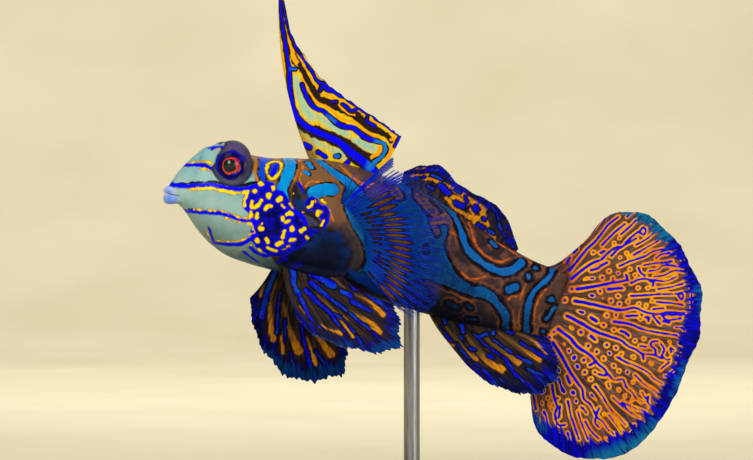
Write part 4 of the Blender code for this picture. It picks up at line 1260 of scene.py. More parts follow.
# Each fin: name, node, guides, rays, columns and rows, waves, how far out its orange turns bright, width
# of its blue margin, teeth, blue strokes and orange strokes
SOFT_FINS = (
    (
        "second_dorsal_membrane",
        "dorsal_fin_second",
        median_guides(SECOND_DORSAL, 0),
        9,
        (240, 70),
        (0.45, 1.7, 0.2),
        -1.0,
        0.6,
        0.002,
        (
            ((0.16, 0.22), "432 175 442 179.6"),
            ((0.36, 0.42), "440 185.5 448 192.5"),
            (0.18, "456.1 190 460 192.6"),
            (0.18, "465.7 196.8 467 202.5"),
            ((0.3, 0.36), "455.6 203 463 206.6"),
            (0.44, "475.5 208 476.5 209"),
            (0.26, "484 218 484.6 219"),
            ((0.2, 0.28), "477.4 224.6 483.5 227.6"),
            (0.26, "489.3 230.6 493 233.6"),
            ((0.1, 0.3), "420 173.4 432 169.6 444 172 452 179"),
            (0.14, "416 178 424 177"),
            (0.14, "428 186 434 189"),
            ((0.1, 0.16), "476 194 489 203.6 498 217 499.6 226 507 239 513 246.6"),
        ),
        (
            (
                (0.2, 0.46),
                "421 178.6 430.6 179 442 183.4 451 187.9 461.2 193.4 468.9 199.6 476.5 204.6 483 210",
            ),
            ((0.26, 0.4), "446.6 198 456 208.3 463.8 213.4 471.4 217.6 481.6 220 487 224.4"),
            (0.36, "472.7 208.3 481.6 209.5 484.2 217.2"),
            (0.3, "452 197 461 199.6 468 204"),
            ((0.2, 0.28), "474 222 484.2 230 494.4 237.6"),
            (0.22, "503.4 232.6 504.6 235.4"),
            ((0.1, 0.24), "402 175 412 169.4 424 168 436 170"),
            (0.16, "412 176 424 174.6 434 175"),
            (0.16, "470 209 474 215"),
        ),
    ),
    (
        "anal_membrane",
        "anal_fin",
        median_guides(ANAL, 180, swing=(-3.0, -15.0)),
        8,
        (230, 130),
        (0.3, 1.5, 0.6),
        0.5,
        1.9,
        0.008,
        (
            ((0.34, 0.2), "443.6 317.6 445.4 323"),
            ((0.36, 0.26), "461.6 326 463.2 332"),
            ((0.1, 0.2), "471.6 332.3 478 336.8 486.7 333.9"),
            (0.28, "493 332 493.6 333.6"),
            ((0.2, 0.27), "504.6 329.6 512.2 333.4"),
            (0.16, "460.2 336.6 464 340"),
            (0.2, "470.5 348.6 475.9 349.8"),
            (0.22, "488 355.1 492.6 357.8"),
            ((0.08, 0.2), "474 334 482.4 342 493.2 350.7 504 358.3 510.6 365.9 516 376"),
            ((0.1, 0.24), "494 340 508.4 350.7 519.3 357.2 531 363"),
            ((0.12, 0.2), "520.3 342.6 530 348.5 541 355 550 360.4"),
            ((0.08, 0.16), "456.4 342 465 354 475.9 363.7 488 374"),
            ((0.1, 0.24), "506 364 514 372 524 382"),
            ((0.1, 0.26), "522 366 532 371 544 377"),
            (0.14, "440 327 446 335 452 341"),
            (0.12, "496 376 504 382"),
        ),
        (
            ((0.14, 0.3), "446.6 326.9 456.4 339.9 467.2 351.8 475.9 359.4"),
            ((0.16, 0.55), "467.2 336.6 480.2 352.9 491 363.8 502 369.4"),
            ((0.14, 0.46), "484.6 336.6 497.6 347.5 508.4 355 519 362.6"),
            ((0.12, 0.36), "499.7 333.4 513.8 343 530 354 539.5 360"),
            ((0.1, 0.22), "513.8 332.3 530 338.8 541 347.5 547.4 355"),
            ((0.1, 0.24), "430.5 317.3 443.4 333.4 453 345"),
        ),
    ),
    (
        "left_pelvic_membrane",
        "pelvic_fin_left",
        paired_guides(-1, PELVIC_LEFT),
        7,
        (220, 140),
        (0.45, 1.5, 0.25),
        0.55,
        1.6,
        0.007,
        (
            ((0.34, 0.52), "311 274 322 279.6 333 286"),
            ((0.3, 0.1), "310.5 282.5 322.4 292.3 333.2 301 348.4 311.8 359.3 321.6 370 330.2 380 340"),
            ((0.3, 0.1), "306 290 315.9 301 328.9 311.8 337.6 323.7 348.4 335.6"),
            (0.12, "334.3 314 344 320.5 353.8 332.4 361.4 343.2"),
            ((0.3, 0.38), "341.5 291.4 351 296.2"),
            ((0.3, 0.12), "352 301.6 360 306 370 311.8"),
            ((0.4, 0.1), "293 268 294.2 283.8 298.5 293.4 305 307.5 310.5 318.3 322.4 330.2"),
            (0.17, "330 270 337.6 271"),
            ((0.1, 0.2), "344.2 277.3 350 282 354.7 289.9"),
            ((0.1, 0.2), "356 289 370 297 384 307"),
            ((0.14, 0.2), "366 292 378 300 388 310"),
        ),
        (
            ((0.1, 0.36), "320.2 286.9 332.2 298.8 344 308.5 359.3 317.2 373.3 324.8 379.9 332.4"),
            (0.14, "337.6 273.9 344 275.5"),
            (0.12, "337 288 339 290"),
            ((0.12, 0.34), "354.9 294.4 370 302 383.1 315"),
            ((0.2, 0.26), "352.9 284.9 362 289.6 372 296.4"),
            ((0.12, 0.26), "321.3 324.8 328 329.1 340.8 333.5"),
            ((0.08, 0.26), "335.6 314 346.2 327 352.7 336.7"),
            (0.12, "299.6 306.4 307.2 316"),
            ((0.2, 0.36), "363 324 375.5 332.4"),
            ((0.1, 0.2), "318 296 332 309 346 320"),
            (0.16, "322 276 334 280 344 288"),
        ),
    ),
    (
        "right_pelvic_membrane",
        "pelvic_fin_right",
        paired_guides(1, PELVIC_RIGHT),
        7,
        (220, 140),
        (0.45, 1.5, 0.25),
        0.62,
        2.0,
        0.007,
        (
            ((0.16, 0.24), "280 292.3 278 309.6 276.9 332.4"),
            ((0.12, 0.18), "285 319.5 285 341"),
            ((0.14, 0.3), "300.9 324.2 305 345.6 310.4 365.8"),
            ((0.3, 0.4), "274.7 271.7 269.3 285.8 265 302 261.7 317.2"),
            ((0.1, 0.2), "315 350 322 360 330 368"),
            (0.14, "290 352 293 366"),
            ((0.3, 0.14), "297 282 304 296 314 312 324 330"),
            ((0.26, 0.14), "306 282 316 296 328 314"),
            ((0.2, 0.1), "316 286 326 300 336 316"),
        ),
        (
            ((0.2, 0.42), "275.8 282.5 270.3 298.8 270.2 315 272.9 338.9"),
            ((0.16, 0.26), "263.9 284.7 260.6 295.5"),
            ((0.2, 0.6), "283.4 304 289.6 330.4 298.5 350.8"),
            (0.2, "281.4 336.7 283.4 353"),
            ((0.2, 0.36), "307.2 338 311.6 351 314.7 363.8"),
            ((0.2, 0.56), "313.9 332.6 325 345.6 331 354"),
            ((0.14, 0.4), "300 300 308 316 318 332"),
            ((0.14, 0.44), "312 300 322 316 334 336"),
            ((0.12, 0.3), "324 296 332 306 340 320"),
        ),
    ),
)

# Fleshy fin skin: nearly black, streaked along the rays, with threads of paler fibre and a painted highlight
# along the very edge.
soft_fin, shader = new_material("dark, fleshy fin skin", 0.5, Specular_IOR_Level=0.05)
wide = centred_noise(soft_fin, 2.5)
fine = centred_noise(soft_fin, 0.8)
streaks = streaked_noise(soft_fin, 0.7, 3.0)
threads = streaked_noise(soft_fin, 0.25)
blue = spread(soft_fin, "blue", fine, 0.7)
orange = spread(soft_fin, "orange", streaks, 0.7)
margin = spread(soft_fin, "margin", streaks, 4.0)
edge = spread(soft_fin, "from_edge", threads, 0.5)
bright = spread(soft_fin, "bright", fine, 0.3)
dull = layered(
    soft_fin,
    "#604C1E",
    ("#B87416", bright, 0.0, 0.1),
    ("#DC8C0C", bright, -0.12, 0.08, 0.8),
    ("#3A3426", threads, -0.07, 0.05, 0.6),
)
spots = layered(
    soft_fin,
    "#0406D4",
    ("#0640C0", wide, -0.02, 0.08),
    ("#04048C", fine, -0.06, 0.06, 0.6),
)
# The margin is teal where the rays are longest
teal = {0: wide, 1: 6.0, 2: spread(soft_fin, "from_edge", streaks, 2.0)}
teal = add_node(soft_fin, "ShaderNodeMath", teal, operation="MULTIPLY_ADD").outputs[0]
teal = {0: spread(soft_fin, "length"), 1: -0.4, 2: teal}
teal = add_node(soft_fin, "ShaderNodeMath", teal, operation="MULTIPLY_ADD").outputs[0]
navy = layered(
    soft_fin,
    "#03033C",
    ("#0404A8", streaks, -0.03, 0.05),
    ("#053A7C", teal, -4.9, 0.7, 0.85),
    ("#02021E", threads, -0.05, 0.04, 0.7),
)
colour = layered(
    soft_fin,
    "#100C14",
    ("#34261F", streaks, 0.0, 0.1),
    ("#4A3A34", threads, -0.08, 0.05, 0.5),
    ("#0C1038", spread(soft_fin, "margin", wide, 3.0), 1.4, 0.9, 0.8),
    ("#5A3418", orange, 0.08, 0.1, 0.8),
    (dull, orange, -0.05, 0.08),
    ("#04041A", blue, 0.2, 0.1),
    (spots, blue, -0.04, 0.05),
    (navy, margin, 0.0, 0.3),
    # painted highlight: a pale grey-blue line along the very edge of the fin
    ("#7C8FA6", edge, 0.03, 0.03, 0.7),
)
connect(soft_fin, colour, shader, "Base Color")
bumped(soft_fin, shader, threads, 0.03)

for name, node, guides, rays, cells, wave, bright, width, teeth, blue_strokes, orange_strokes in SOFT_FINS:
    shape = {"scallop": 0.03, "wave": wave, "teeth": teeth}
    membrane, middle, _, travelled = fin(name, guides, rays, *cells, **shape)
    mark(membrane, middle, blue=blue_strokes, orange=orange_strokes)
    add_both(membrane, "margin", travelled[-1] - travelled - width)
    add_both(membrane, "bright", bright - travelled / travelled[-1])
    add_both(membrane, "length", travelled[-1] + 0 * travelled)
    dress(membrane, soft_fin, "fin_membrane", node)


# The tail fin: forked rays in a broad fan, orange to the margin, with blue lines and spots. The lines
# are set down along the rays, and the finer ones between them are grown as pigment cells do.
CAUDAL = (
    (52.6, 4.35, 2.2, 47.1),
    (54.2, 4.45, 5.4, 70.6),
    (55.4, 4.6, 9.6, 76.2),
    (55.4, 3.7, 13.5, 65.7),
    (55.4, 2.7, 16.2, 53.3),
    (55.4, 1.6, 18.3, 38.6),
    (55.4, 0.5, 20.1, 23.7),
    (55.4, -0.6, 20.4, 11.8),
    (55.4, -1.7, 19.9, -1.4),
    (55.4, -2.7, 20.6, -24.0),
    (55.4, -3.5, 19.4, -45.4),
    (55.4, -4.1, 16.2, -60.8),
    (55.4, -4.5, 12.5, -73.3),
    (55.4, -4.6, 8.4, -80.3),
)  # station and height of the root, length and angle
INSIDE_MARGIN = (
    "520 240 556 262 566 256 587 236 600 220 611 211 620 213.5 632 216 643 224 650 229 655 236 665 247"
    " 673 257 678 264 683 276 687 289 690 302 687 311 684 322 679 335 675 353 670.5 371 659 389 649 409.5"
    " 635 422 626 430 612 436 596.5 441 577 440 565 431 545.5 421 536 410 525 390 520 330"
)
TAIL_LINES = (
    "569 271 576 262.5 586 250 595 241.5 602 233 609 224 618 217",
    "602 245 614 233 625 224",
    "621 234 631 225.5 636 220",
    "571 279 581 271 591 264 602 259 609 252 617 247 622 247 627 241 635 234 640 231",
    "611 256 621 247 632 241 637 238",
    "591 270 598 268",
    "600 266 607 262.5",
    "619.5 266 631 261 645 256 654 251 668 249",
    "633.5 255 645 248.5 658 241",
    "636 245 648 238 655 231",
    "644 265 658 263 672 261",
    "649 271 658 269.5 662 266 676 266",
    "654 276.5 665 275 673 271 683 271",
    "577 289 591 287 607 284 618 282 628 280",
    "631 283 641 279 653 280 667 281 676 276.5",
    "608 289 622 288",
    "631 296 648 295 663 294 673 294 682 292.5",
    "658 289 670.5 287 683 283.5",
    "575 301 591 304 609 308 622 310 635 308 645 312 658 314 668 312 684.5 313",
    "653 316 660 324",
    "662 315 682 315",
    "656.5 302 670.5 303 683 305",
    "653 309 664 308",
    "614 321.5 630 324 642 329 655 332 667 334 677 335.5",
    "567 316 581 323 596.5 332 612 337 622 341 628 346 636 349.5 641 353 654 355 662 359",
    "617 357 626 362 636 366 648 372.5 654 379 662 384",
    "635 375 644 384 654 390 660 397",
    "558 329 570 338 577 346 591 356 598 364 604 369 608 374 614 380 623 379.5 626 386.5 632 392 637 399"
    " 642 402",
    "590 365 596.5 362",
    "599 374 605.5 376",
    "613 398 625 408 639 418",
    "622 402 635 408 646 412",
    "595 386.5 602 395.5 609 407 617 416 626 425",
    "609 415 617 425 622 432",
    "553 342.5 562 357 568.5 369 576 381 582.5 390 584 399 590 404 596.5 416 603 422 609 430 614 434",
    "596.5 416 595 422 599 427",
    "599 408 596.5 415",
    "578 412 581 422 588 439",
    "585 421 591 431 599 439",
    "568 401 571 416 576 430 579 439",
    "552 385 554 397 557 407 555 415 559 425 565 425",
    "560 406 559 418",
    "533 394 536 409",
    "567 376 570 383",
    "640 231 642.7 227.4 646 229.9 643.5 234.8 638.6 231.5",
    "656 258 661 254.7 670 253",
    "638.6 268 641 273 645.2 275.5",
    "626 274.6 627.8 279.6",
    "649.4 281.3 653.5 281.3 652.7 286.2",
    "676 294 683.3 294.5 681.7 299.5 678.4 296.2",
    "661 314.4 666 319.4 680.9 318.6",
    "626 316 637.7 315.3",
    "645.2 317 649.4 317.7 648.5 321",
    "662.6 321 669.3 322.7",
    "591.3 317.7 596.3 321",
    "621 331 626 332.7 628.6 336",
    "640 346 646 346.8",
    "642.7 353.4 643.5 359.2",
    "656 355 655.2 349.3 651 346 651 342.6 657.6 341",
    "661 344.3 664.3 349.3 661.8 355.9 666 359.2 670 359.2",
    "669.3 362.5 664.3 365.8 661 369.2",
    "674.2 350 670 347.6 671 352.6",
    "641.9 392.4 646 399 649.4 405.6",
    "648.5 395.7 647.7 402.3",
    "591.3 336 594.6 339.3",
    "581.4 407.3 586.3 412.3",
    "600.4 253 604.6 250.6",
    "567 263 570 257.6",
    "573.4 253 577 249",
)
TEAL_RIM = (
    (1.5, "624 210 645 214 657 222 664 232"),
    (0.5, "700 290 704 300 704 312"),
    (1.1, "596 459 622 452 640 442 654 428"),
    (0.3, "530 396 534 412 542 428"),
    (0.3, "672 396 680 380 684 366"),
)
TAIL_SPOTS = (
    "564.6 283.5 565 300 564.4 274 549.6 337.2 554 332 572 289 611 301 619.5 304 628 302 639 304 646 306"
    " 652 301 607 315 616 315 632 315 640.5 319 648 319 613 278 602 278 628 276.5 635 275 640 271 626.5 253"
    " 629 257 593 252 602 252 614 243 619.5 238 609 271 630 269 600 291 618 296 638 288 648 288 603.5 325"
    " 614 330 626 334 635 341 644 339"
    " 642 346 581 332 591 336 607 345 616 348 621 354 633.5 357 651 363 588 346 596.5 352 603.5 358.5"
    " 614 366 619 371 633 382 584 360 608 383 609 386.5 619 390 625 396 632 400 585 372 591 379 595 372"
    " 550 404 552 409 548 398 558 398 584 408 586 413 604 414"
)
PATTERN_CORNER = (515, 200)  # in the picture
PATTERN_SIZE = (200, 264)  # in cells of one pixel
LINE_SPACING = 1.45  # of the drawn lines
GROWN_SPACING = 1.12  # of those between them
PATTERN_STEPS = 140
HOLD_WIDTH, HOLD_RATE = 0.42, 0.3
SPOTTY_WITHIN, LINED_FROM = 9.5, 13.5  # millimetres from the base of the fan
FAN_BASE = (555, 320)  # where the rays would meet
ROOT_LINE = [(0.0, "556 262 566 262 560 290 552 320 543 345 525 350")]
BARE_ROOT, FULL_FROM = 1.6, 4.0  # nothing is grown so near the roots, and all of it so far out

stations, heights, lengths, turns = np.array(CAUDAL).T
tailward, rightward, upward = directions(stations)
roots = midline(stations) + tailward * GAP + upward * heights[:, None]
ways = ray_directions(stations, turns, rightward, np.linspace(0, 7, len(stations)))
tips = roots + ways * lengths[:, None]
guides = (roots, (roots + tips) / 2 + tailward * 0.03 * lengths[:, None], tips, -tailward)
tail, middle, *_ = fin(
    "tail_fin_fan", guides, 12, 292, 170, scallop=0.02, wave=(0.7, 1.6, 0.1), ray_radius=0.18, teeth=0.002
)

wide_cells, high_cells = PATTERN_SIZE
cells = np.stack(np.meshgrid(np.arange(wide_cells), np.arange(high_cells)), -1)
cells = flat(cells + PATTERN_CORNER)


def outside_in_cells(strokes, reach):
    """How far the cells of the pattern are outside some strokes."""
    return outside_strokes(cells.reshape(-1, 2), strokes, flat, reach).reshape(high_cells, wide_cells)


# The lines and spots hold the pigment near them, and what lies between is grown in steps: it spreads,
# settles at a spacing, and breaks up into spots near the base of the fan
from_line = outside_in_cells([(0.0, text) for text in TAIL_LINES], 2.0)
from_spot = outside_in_cells([(0.0, f"{x} {y}") for x, y in pixels(TAIL_SPOTS)], 2.0)
from_mark = np.minimum(from_line, from_spot + 0.03)
from_base = np.linalg.norm(cells - flat(np.array(FAN_BASE)), axis=2)
spacing = LINE_SPACING * np.interp(from_base, (5, 11, 17), (1.3, 1.0, 0.88))
wanted = 1.25 * np.cos(np.clip(from_mark / spacing, 0, 0.5) * 2 * math.pi)
hold = np.exp(-((from_mark / (HOLD_WIDTH * spacing)) ** 2))
spotty = 0.9 * np.clip((LINED_FROM - from_base) / (LINED_FROM - SPOTTY_WITHIN), 0, 1)
waves = np.hypot(np.fft.fftfreq(wide_cells)[None, :], np.fft.fftfreq(high_cells)[:, None])
waves *= GROWN_SPACING / PICTURE_MM
growth = 0.4 - (1 - waves**2) ** 2
draws = np.random.default_rng(5)
pigment = draws.normal(0, 0.15, (high_cells, wide_cells))
for _ in range(PATTERN_STEPS):
    pigment += HOLD_RATE * hold * (wanted - pigment)
    pushed = np.fft.fft2(pigment) + 0.5 * np.fft.fft2(spotty * pigment**2 - pigment**3)
    pigment = np.fft.ifft2(pushed / (1 - 0.5 * growth)).real
pigment = (3.0 * pigment - 0.5) * (1 - hold) + wanted * hold
grown = np.clip((outside_in_cells(ROOT_LINE, 5.0) - BARE_ROOT) / (FULL_FROM - BARE_ROOT), 0, 1)
pigment = grown * pigment + (1 - grown) * np.minimum(pigment, wanted)


def sampled(grid, seen):
    """The values of a grid of cells at places in the picture."""
    at = np.clip(seen - PATTERN_CORNER, 0, np.array(PATTERN_SIZE) - 1.001)
    i, j = at[:, 0].astype(int), at[:, 1].astype(int)
    x, y = at[:, 0] - i, at[:, 1] - j
    upper = grid[j, i] * (1 - x) + grid[j, i + 1] * x
    return upper * (1 - y) + (grid[j + 1, i] * (1 - x) + grid[j + 1, i + 1] * x) * y


seen = in_picture(middle).reshape(-1, 2)
add_both(tail, "pigment", sampled(pigment, seen))
add_both(tail, "margin", -outside_area(seen, INSIDE_MARGIN, 4))
mark(tail, middle, teal=TEAL_RIM)

# Fin skin with dense pigment: strong orange between blue lines that have a brown edge, and a painted
# highlight along the outer edge.
tail_skin, shader = new_material("forked tail fin skin, orange and blue", 0.5, Specular_IOR_Level=0.05)
wide = centred_noise(tail_skin, 3.0)
fine = centred_noise(tail_skin, 0.7)
streaks = streaked_noise(tail_skin, 0.6, 3.0)
threads = streaked_noise(tail_skin, 0.25)
pigment = spread(tail_skin, "pigment", fine, -0.6)
pigment = add_node(tail_skin, "ShaderNodeMath", {0: pigment, 1: -1.0}, operation="MULTIPLY").outputs[0]
from_root = spread(tail_skin, "from_root", wide, 3.0)
margin = spread(tail_skin, "margin", streaks, 5.0)
orange = layered(
    tail_skin,
    "#F0A004",
    ("#DC7C08", wide, 0.0, 0.1),
    ("#C8601A", from_root, 2.4, 1.2, 0.7),
    ("#5A3018", from_root, 1.1, 0.4),
)
rim = layered(
    tail_skin,
    "#02027C",
    ("#0404C4", streaks, 0.0, 0.06),
    ("#045A90", spread(tail_skin, "teal", streaks, 3.0), 0.0, 0.6, 0.9),
    ("#14709C", spread(tail_skin, "teal", streaks, 4.0), -0.8, 0.4, 0.7),
    ("#020230", threads, -0.06, 0.03, 0.7),
)
colour = layered(
    tail_skin,
    "#684436",
    ("#50362C", from_root, 4.0, 2.0),
    ("#33262A", streaks, -0.02, 0.06, 0.85),
    ("#8C7670", threads, -0.08, 0.04, 0.5),
    ("#8A4420", pigment, 0.85, 0.2, 0.9),
    (orange, pigment, 0.5, 0.14),
    ("#4A2010", pigment, -0.86, 0.1),
    ("#0A00E0", pigment, -1.0, 0.07),
    (rim, margin, -0.1, 0.25),
    # painted highlight: a paler blue line along the very edge of the fin
    ("#3A6AA0", spread(tail_skin, "from_edge", fine, 0.4), 0.05, 0.04, 0.6),
)
connect(tail_skin, colour, shader, "Base Color")
bumped(tail_skin, shader, fine, 0.02)
dress(tail, tail_skin, "fin_membrane", "caudal_fin")


# The pectoral fins: many fine blue rays, each free at its tip, in a film so thin that the bands of the
# flank show through it. Brown dashes lie between the rays.
PECTORAL = (
    (23.4, 67.1, 3.3, 97.5, 8.0),
    (23.5, 67.4, 4.2, 77.9, 10.0),
    (23.6, 67.7, 5.6, 50.1, 14.0),
    (23.7, 68.5, 9.4, 59.8, 22.0),
    (23.9, 69.6, 8.5, 52.5, 22.0),
    (24.3, 71.7, 9.4, 48.0, 23.0),
    (24.8, 74.6, 11.3, 42.0, 24.0),
    (26.1, 80.9, 13.3, 24.0, 23.0),
    (27.4, 88.2, 12.6, 13.7, 22.0),
    (28.5, 96.5, 11.7, -0.1, 21.0),
    (29.2, 106.1, 11.8, -13.1, 21.0),
    (29.2, 118.6, 9.9, -26.9, 20.0),
)
# How many rays are passed, at shares across the fin: free ones in front, a tight spike, then the fan
PECTORAL_RAYS = ((0.0, 0), (0.27, 4), (0.34, 9), (0.45, 12), (1.0, 33))
SINGLE_RAYS = 0.36
SPIKE = 0.3  # the middle of the spike, a share across
FADE = 0.017  # what a ray loses for each millimetre out
# Each row of dashes: millimetres out from the root, half length, and the share of the gaps that have one
DASH_ROWS = ((2.0, 1.0, 0.75), (5.3, 2.1, 0.95))
DASHED_GAPS = range(10, PECTORAL_RAYS[-1][1])
DASH_WIDTH = 0.37  # half the width, a share of the gap

# Clear fin film: only the rays and dashes hold colour, and the flank shows between them.
pectoral_film, shader = new_material("clear fin film over blue rays", 0.45, Specular_IOR_Level=0.05)
wide = centred_noise(pectoral_film, 3.0)
fine = centred_noise(pectoral_film, 0.5)
ray = spread(pectoral_film, "ray", fine, -0.3)
from_ray = add_node(pectoral_film, "ShaderNodeMath", {0: ray, 1: -1.0}, operation="MULTIPLY").outputs[0]
dashes = spread(pectoral_film, "dashes", fine, 0.3)
from_root = spread(pectoral_film, "from_root", wide, 3.0)
# The front rays fold together into a spike
fold = spread(pectoral_film, "fold", wide, 0.5)
# Away from the root the rays grow finer and fade
from_ray = {0: spread(pectoral_film, "fade"), 1: from_ray}
from_ray = add_node(pectoral_film, "ShaderNodeMath", from_ray).outputs[0]
brown = layered(
    pectoral_film,
    "#5E4024",
    ("#2C1C18", from_root, 3.4, 0.8),
    ("#3A261C", fine, -0.02, 0.08, 0.7),
)
film = layered(
    pectoral_film,
    "#0636A0",
    ("#0648A8", from_root, 3.2, 2.0),
    ("#2A6AA8", from_root, 12.0, -1.5),
    ("#0A2CB0", fold, 0.38, 0.1),
    ("#0A0814", dashes, 0.14, 0.1),
    (brown, dashes, -0.1, 0.12),
)
blues = layered(
    pectoral_film,
    "#0410E4",
    ("#0640D0", wide, 0.02, 0.08),
    ("#06488E", from_root, 0.8, 1.2, 0.85),
    ("#0A2C9C", spread(pectoral_film, "across"), 0.24, 0.03, 0.8),
    ("#0A24A4", from_root, 8.0, -2.0, 0.8),
)
colour = layered(
    pectoral_film,
    film,
    ("#040A50", from_ray, -0.15, 0.12, 0.9),
    (blues, from_ray, -0.5, 0.15),
)
connect(pectoral_film, colour, shader, "Base Color")
# How solid the film is, in greys
alpha = painted(pectoral_film, "#5A5A5A", "#CCCCCC", from_root, 2.8, 2.6)
alpha = painted(pectoral_film, alpha, "#303030", spread(pectoral_film, "from_edge", wide, 4.0), 1.6, 1.4)
alpha = painted(pectoral_film, alpha, "#2C2C2C", spread(pectoral_film, "across"), 0.4, 0.05)
alpha = painted(pectoral_film, alpha, "#D8D8D8", fold, 0.38, 0.1)
alpha = painted(pectoral_film, alpha, "#F4F4F4", dashes, 0.1, 0.1)
alpha = painted(pectoral_film, alpha, "#FFFFFF", from_ray, -0.4, 0.2)
connect(pectoral_film, alpha, shader, "Alpha")

for side, word in ((-1, "left"), (1, "right")):
    guides = paired_guides(side, PECTORAL)
    shape = {"scallop": 0.02, "ray_radius": 0.09, "forks": (0.5, 0.75), "teeth": 0.002, "single": SINGLE_RAYS}
    pectoral, _, across, travelled = fin(f"{word}_pectoral_film", guides, PECTORAL_RAYS, 490, 96, **shape)
    draws = np.random.default_rng(11)
    passed = np.interp(across, *zip(*PECTORAL_RAYS))
    gaps = PECTORAL_RAYS[-1][1]
    gap = np.minimum(passed.astype(int), gaps - 1)
    from_gap = np.abs(passed - gap - 0.5)
    dashes = np.full(across.shape, 1.5)
    for row, half, chance in DASH_ROWS:
        starts = row + draws.uniform(-0.5, 0.5, gaps)
        halves = half * draws.uniform(0.6, 1.2, gaps) * (draws.random(gaps) < chance)
        halves *= np.isin(np.arange(gaps), DASHED_GAPS)
        from_middle = (travelled - SUNK - GAP - starts[gap]) / (halves[gap] + 0.01)
        dashes = np.minimum(dashes, from_middle**2 + from_gap / DASH_WIDTH - 1)
    add_both(pectoral, "dashes", dashes * 0.4)
    add_both(pectoral, "across", across)
    add_both(pectoral, "fold", 10 * np.abs(across - SPIKE))
    add_both(pectoral, "fade", FADE * travelled * np.clip(20 * across - 7, 0, 1))
    dress(pectoral, pectoral_film, "pectoral_membrane", f"pectoral_fin_{word}")


# The stand's base: a block of dark walnut, sawn and planed. Its upright edges are rounded and its upper
# rim is chamfered, and the rod stands in it.
BASE_SIZE = (50.0, 34.0, 4.0)
BASE_CORNER = 8.0
BASE_BEVEL = 0.8

base = primitive("walnut_base", bpy.ops.mesh.primitive_cube_add, size=1)
move_points(base, (points_of(base) + (0, 0, 0.5)) * BASE_SIZE)
bpy.context.tool_settings.mesh_select_mode = (False, True, False)
for is_picked, width, segments in (
    (lambda low, high: high - low > 1, BASE_CORNER, 16),
    (lambda low, high: low > BASE_SIZE[2] - 0.01, BASE_BEVEL, 5),
):
    bpy.ops.object.mode_set(mode="EDIT")
    bpy.ops.mesh.select_all(action="DESELECT")
    bpy.ops.object.mode_set(mode="OBJECT")
    for edge in base.data.edges:
        low, high = sorted(base.data.vertices[k].co.z for k in edge.vertices)
        edge.select = is_picked(low, high)
    bpy.ops.object.mode_set(mode="EDIT")
    bpy.ops.mesh.bevel(offset=width, segments=segments, affect="EDGES")
    bpy.ops.object.mode_set(mode="OBJECT")

# Walnut, planed and oiled: long, warped grain and open pores under a low sheen.
walnut, shader = new_material("oiled walnut", 0.38)
place = add_node(walnut, "ShaderNodeTexCoord").outputs["Object"]
squeezed = add_node(walnut, "ShaderNodeMapping", {"Vector": place, "Scale": (0.08, 1, 1)}).outputs[0]
warp = add_node(walnut, "ShaderNodeTexNoise", {"Vector": squeezed, "Scale": 90.0, "Detail": 3.0})
bent = {0: warp.outputs["Color"], 1: (0.012, 0.012, 0.012), 2: squeezed}
bent = add_node(walnut, "ShaderNodeVectorMath", bent, operation="MULTIPLY_ADD").outputs[0]
grain = add_node(walnut, "ShaderNodeTexNoise", {"Vector": bent, "Scale": 420.0, "Detail": 6.0}).outputs[0]
pores = {"Vector": squeezed, "Scale": 2600.0, "Detail": 2.0}
pores = add_node(walnut, "ShaderNodeTexNoise", pores).outputs[0]
colour = layered(
    walnut,
    "#3A2214",
    ("#5C3A22", grain, 0.5, 0.18),
    ("#22130B", pores, 0.36, 0.06, 0.7),
)
connect(walnut, colour, shader, "Base Color")
bumped(walnut, shader, pores, 0.04)
dress(base, walnut, "stand_wood", "stand_base")
only(base)
bpy.ops.object.shade_smooth_by_angle(angle=math.radians(35))

# The stand's rod: turned and brushed stainless steel, with a collar on the base and a top that is cut
# to the curve of the belly.
ROD_X, ROD_RADIUS = 4.8, 1.1
COLLAR_RADIUS, COLLAR_HEIGHT = 2.3, 1.2
ROD_RINGS = 14

stations, angles = np.meshgrid(np.linspace(28, 42, 141), np.linspace(150, 210, 61))
belly = body_point(stations, angles).reshape(-1, 3)


def belly_height(place):
    near = np.argsort(np.hypot(belly[:, 0] - place[0], belly[:, 1] - place[1]))[:4]
    return belly[near, 2].mean()


foot = BASE_SIZE[2]
top = foot + COLLAR_HEIGHT
cut_off = 99.0  # stands in for the belly's height, which differs round the rod
turned = [(0.0, foot), (COLLAR_RADIUS, foot), (COLLAR_RADIUS, top - 0.4), (COLLAR_RADIUS - 0.12, top - 0.15)]
turned += [(COLLAR_RADIUS - 0.4, top), (ROD_RADIUS + 0.25, top), (ROD_RADIUS, top + 0.25)]
turned += [(ROD_RADIUS, top + 0.25 + k) for k in range(1, ROD_RINGS)]
turned += [(ROD_RADIUS, cut_off), (0.0, cut_off)]
rod = primitive(
    "steel_rod", bpy.ops.mesh.primitive_grid_add, x_subdivisions=48, y_subdivisions=len(turned) - 1, size=2
)
around = (points_of(rod)[:, 0] + 1) * math.pi
ring = np.rint((points_of(rod)[:, 1] + 1) / 2 * (len(turned) - 1)).astype(int)
radius, level = np.array(turned)[ring].T
points = np.stack([ROD_X + radius * np.cos(around), radius * np.sin(around), level], 1)
for i in np.flatnonzero(level == cut_off):
    points[i, 2] = belly_height(points[i]) + 0.25
move_points(rod, points)
close(rod, weld=1e-3)

# Steel, brushed along the rod: scratches that draw its reflections out.
steel, shader = new_material("brushed stainless steel", 0.3, Metallic=1.0)
place = add_node(steel, "ShaderNodeTexCoord").outputs["Object"]
brushed = add_node(steel, "ShaderNodeMapping", {"Vector": place, "Scale": (1, 1, 0.04)}).outputs[0]
scratches = add_node(steel, "ShaderNodeTexNoise", {"Vector": brushed, "Scale": 6000.0}).outputs[0]
connect(steel, painted(steel, "#8E8E90", "#B4B4B6", scratches, 0.5, 0.2), shader, "Base Color")
rough = add_node(steel, "ShaderNodeMapRange", {"Value": scratches, "To Min": 0.24, "To Max": 0.42}).outputs[0]
connect(steel, rough, shader, "Roughness")
bumped(steel, shader, scratches, 0.01)
dress(rod, steel, "stand_steel", "stand_rod")
only(rod)
bpy.ops.object.shade_smooth_by_angle(angle=math.radians(35))


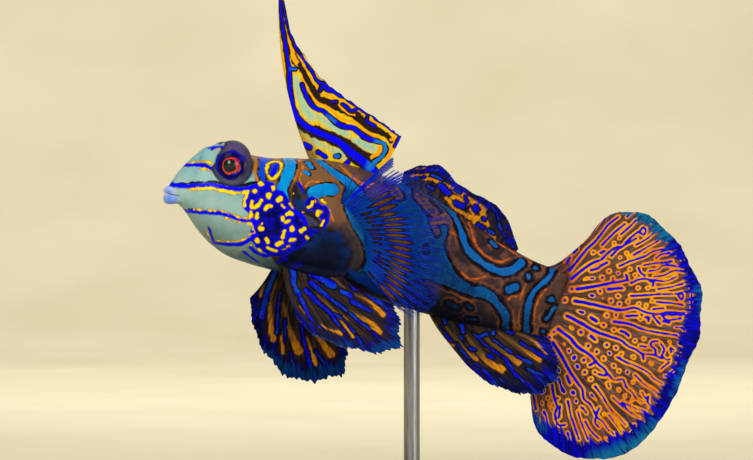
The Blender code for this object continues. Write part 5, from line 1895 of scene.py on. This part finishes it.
# The studio: a sheet of pale paper that lies under the stand and sweeps up behind it, four broad lamps
# and a soft sky.
FLOOR_SIZE = 6000.0
SWEEP_FROM, SWEEP_RADIUS = 500.0, 400.0

floor = primitive("floor", bpy.ops.mesh.primitive_grid_add, x_subdivisions=2, y_subdivisions=60, size=2)
along = (points_of(floor)[:, 1] + 1) / 2
turn = np.clip((along - 0.4) / 0.3, 0, 1) * math.pi / 2
depth = SWEEP_FROM + np.where(along < 0.4, (along - 0.4) * FLOOR_SIZE, SWEEP_RADIUS * np.sin(turn))
height = SWEEP_RADIUS * (1 - np.cos(turn)) + np.clip(along - 0.7, 0, 1) * FLOOR_SIZE
move_points(floor, np.stack([points_of(floor)[:, 0] * FLOOR_SIZE / 2, depth, height], 1))
in_metres(floor)
# Backdrop paper: matt, its tone a little uneven.
paper, shader = new_material("pale backdrop paper", 0.9)
tone = painted(paper, "#DDD3B4", "#E6DDC0", centred_noise(paper, 60.0), 0.0, 0.2)
connect(paper, tone, shader, "Base Color")
floor.data.materials.append(paper)


def lamp(name, place, aim, size, power, colour):
    """A square lamp, places in millimetres, that faces its aim."""
    light = bpy.data.lights.new(name, "AREA")
    light.size = size / 1000
    light.energy = power
    light.color = linear(colour)[:3]
    made = bpy.data.objects.new(name, light)
    bpy.context.scene.collection.objects.link(made)
    made.location = Vector(place) / 1000
    made.rotation_euler = (Vector(aim) - Vector(place)).to_track_quat("-Z", "Y").to_euler()


lamp("key", (-220, -380, 330), (0, 0, 35), 260, 2.1, "#FFFAF2")
lamp("fill", (330, -330, 120), (0, 0, 35), 300, 0.75, "#F2F6FF")
lamp("back", (60, 260, 300), (0, 0, 40), 260, 0.35, "#FFFFFF")
lamp("wash", (0, 330, 520), (0, 1000, 120), 700, 3, "#FFFDF6")
world = bpy.data.worlds.new("sky")
bpy.context.scene.world = world
world.use_nodes = True
world.node_tree.nodes["Background"].inputs["Color"].default_value = linear("#F4F1EA")
world.node_tree.nodes["Background"].inputs["Strength"].default_value = 0.32
bpy.context.scene.view_settings.view_transform = "Standard"
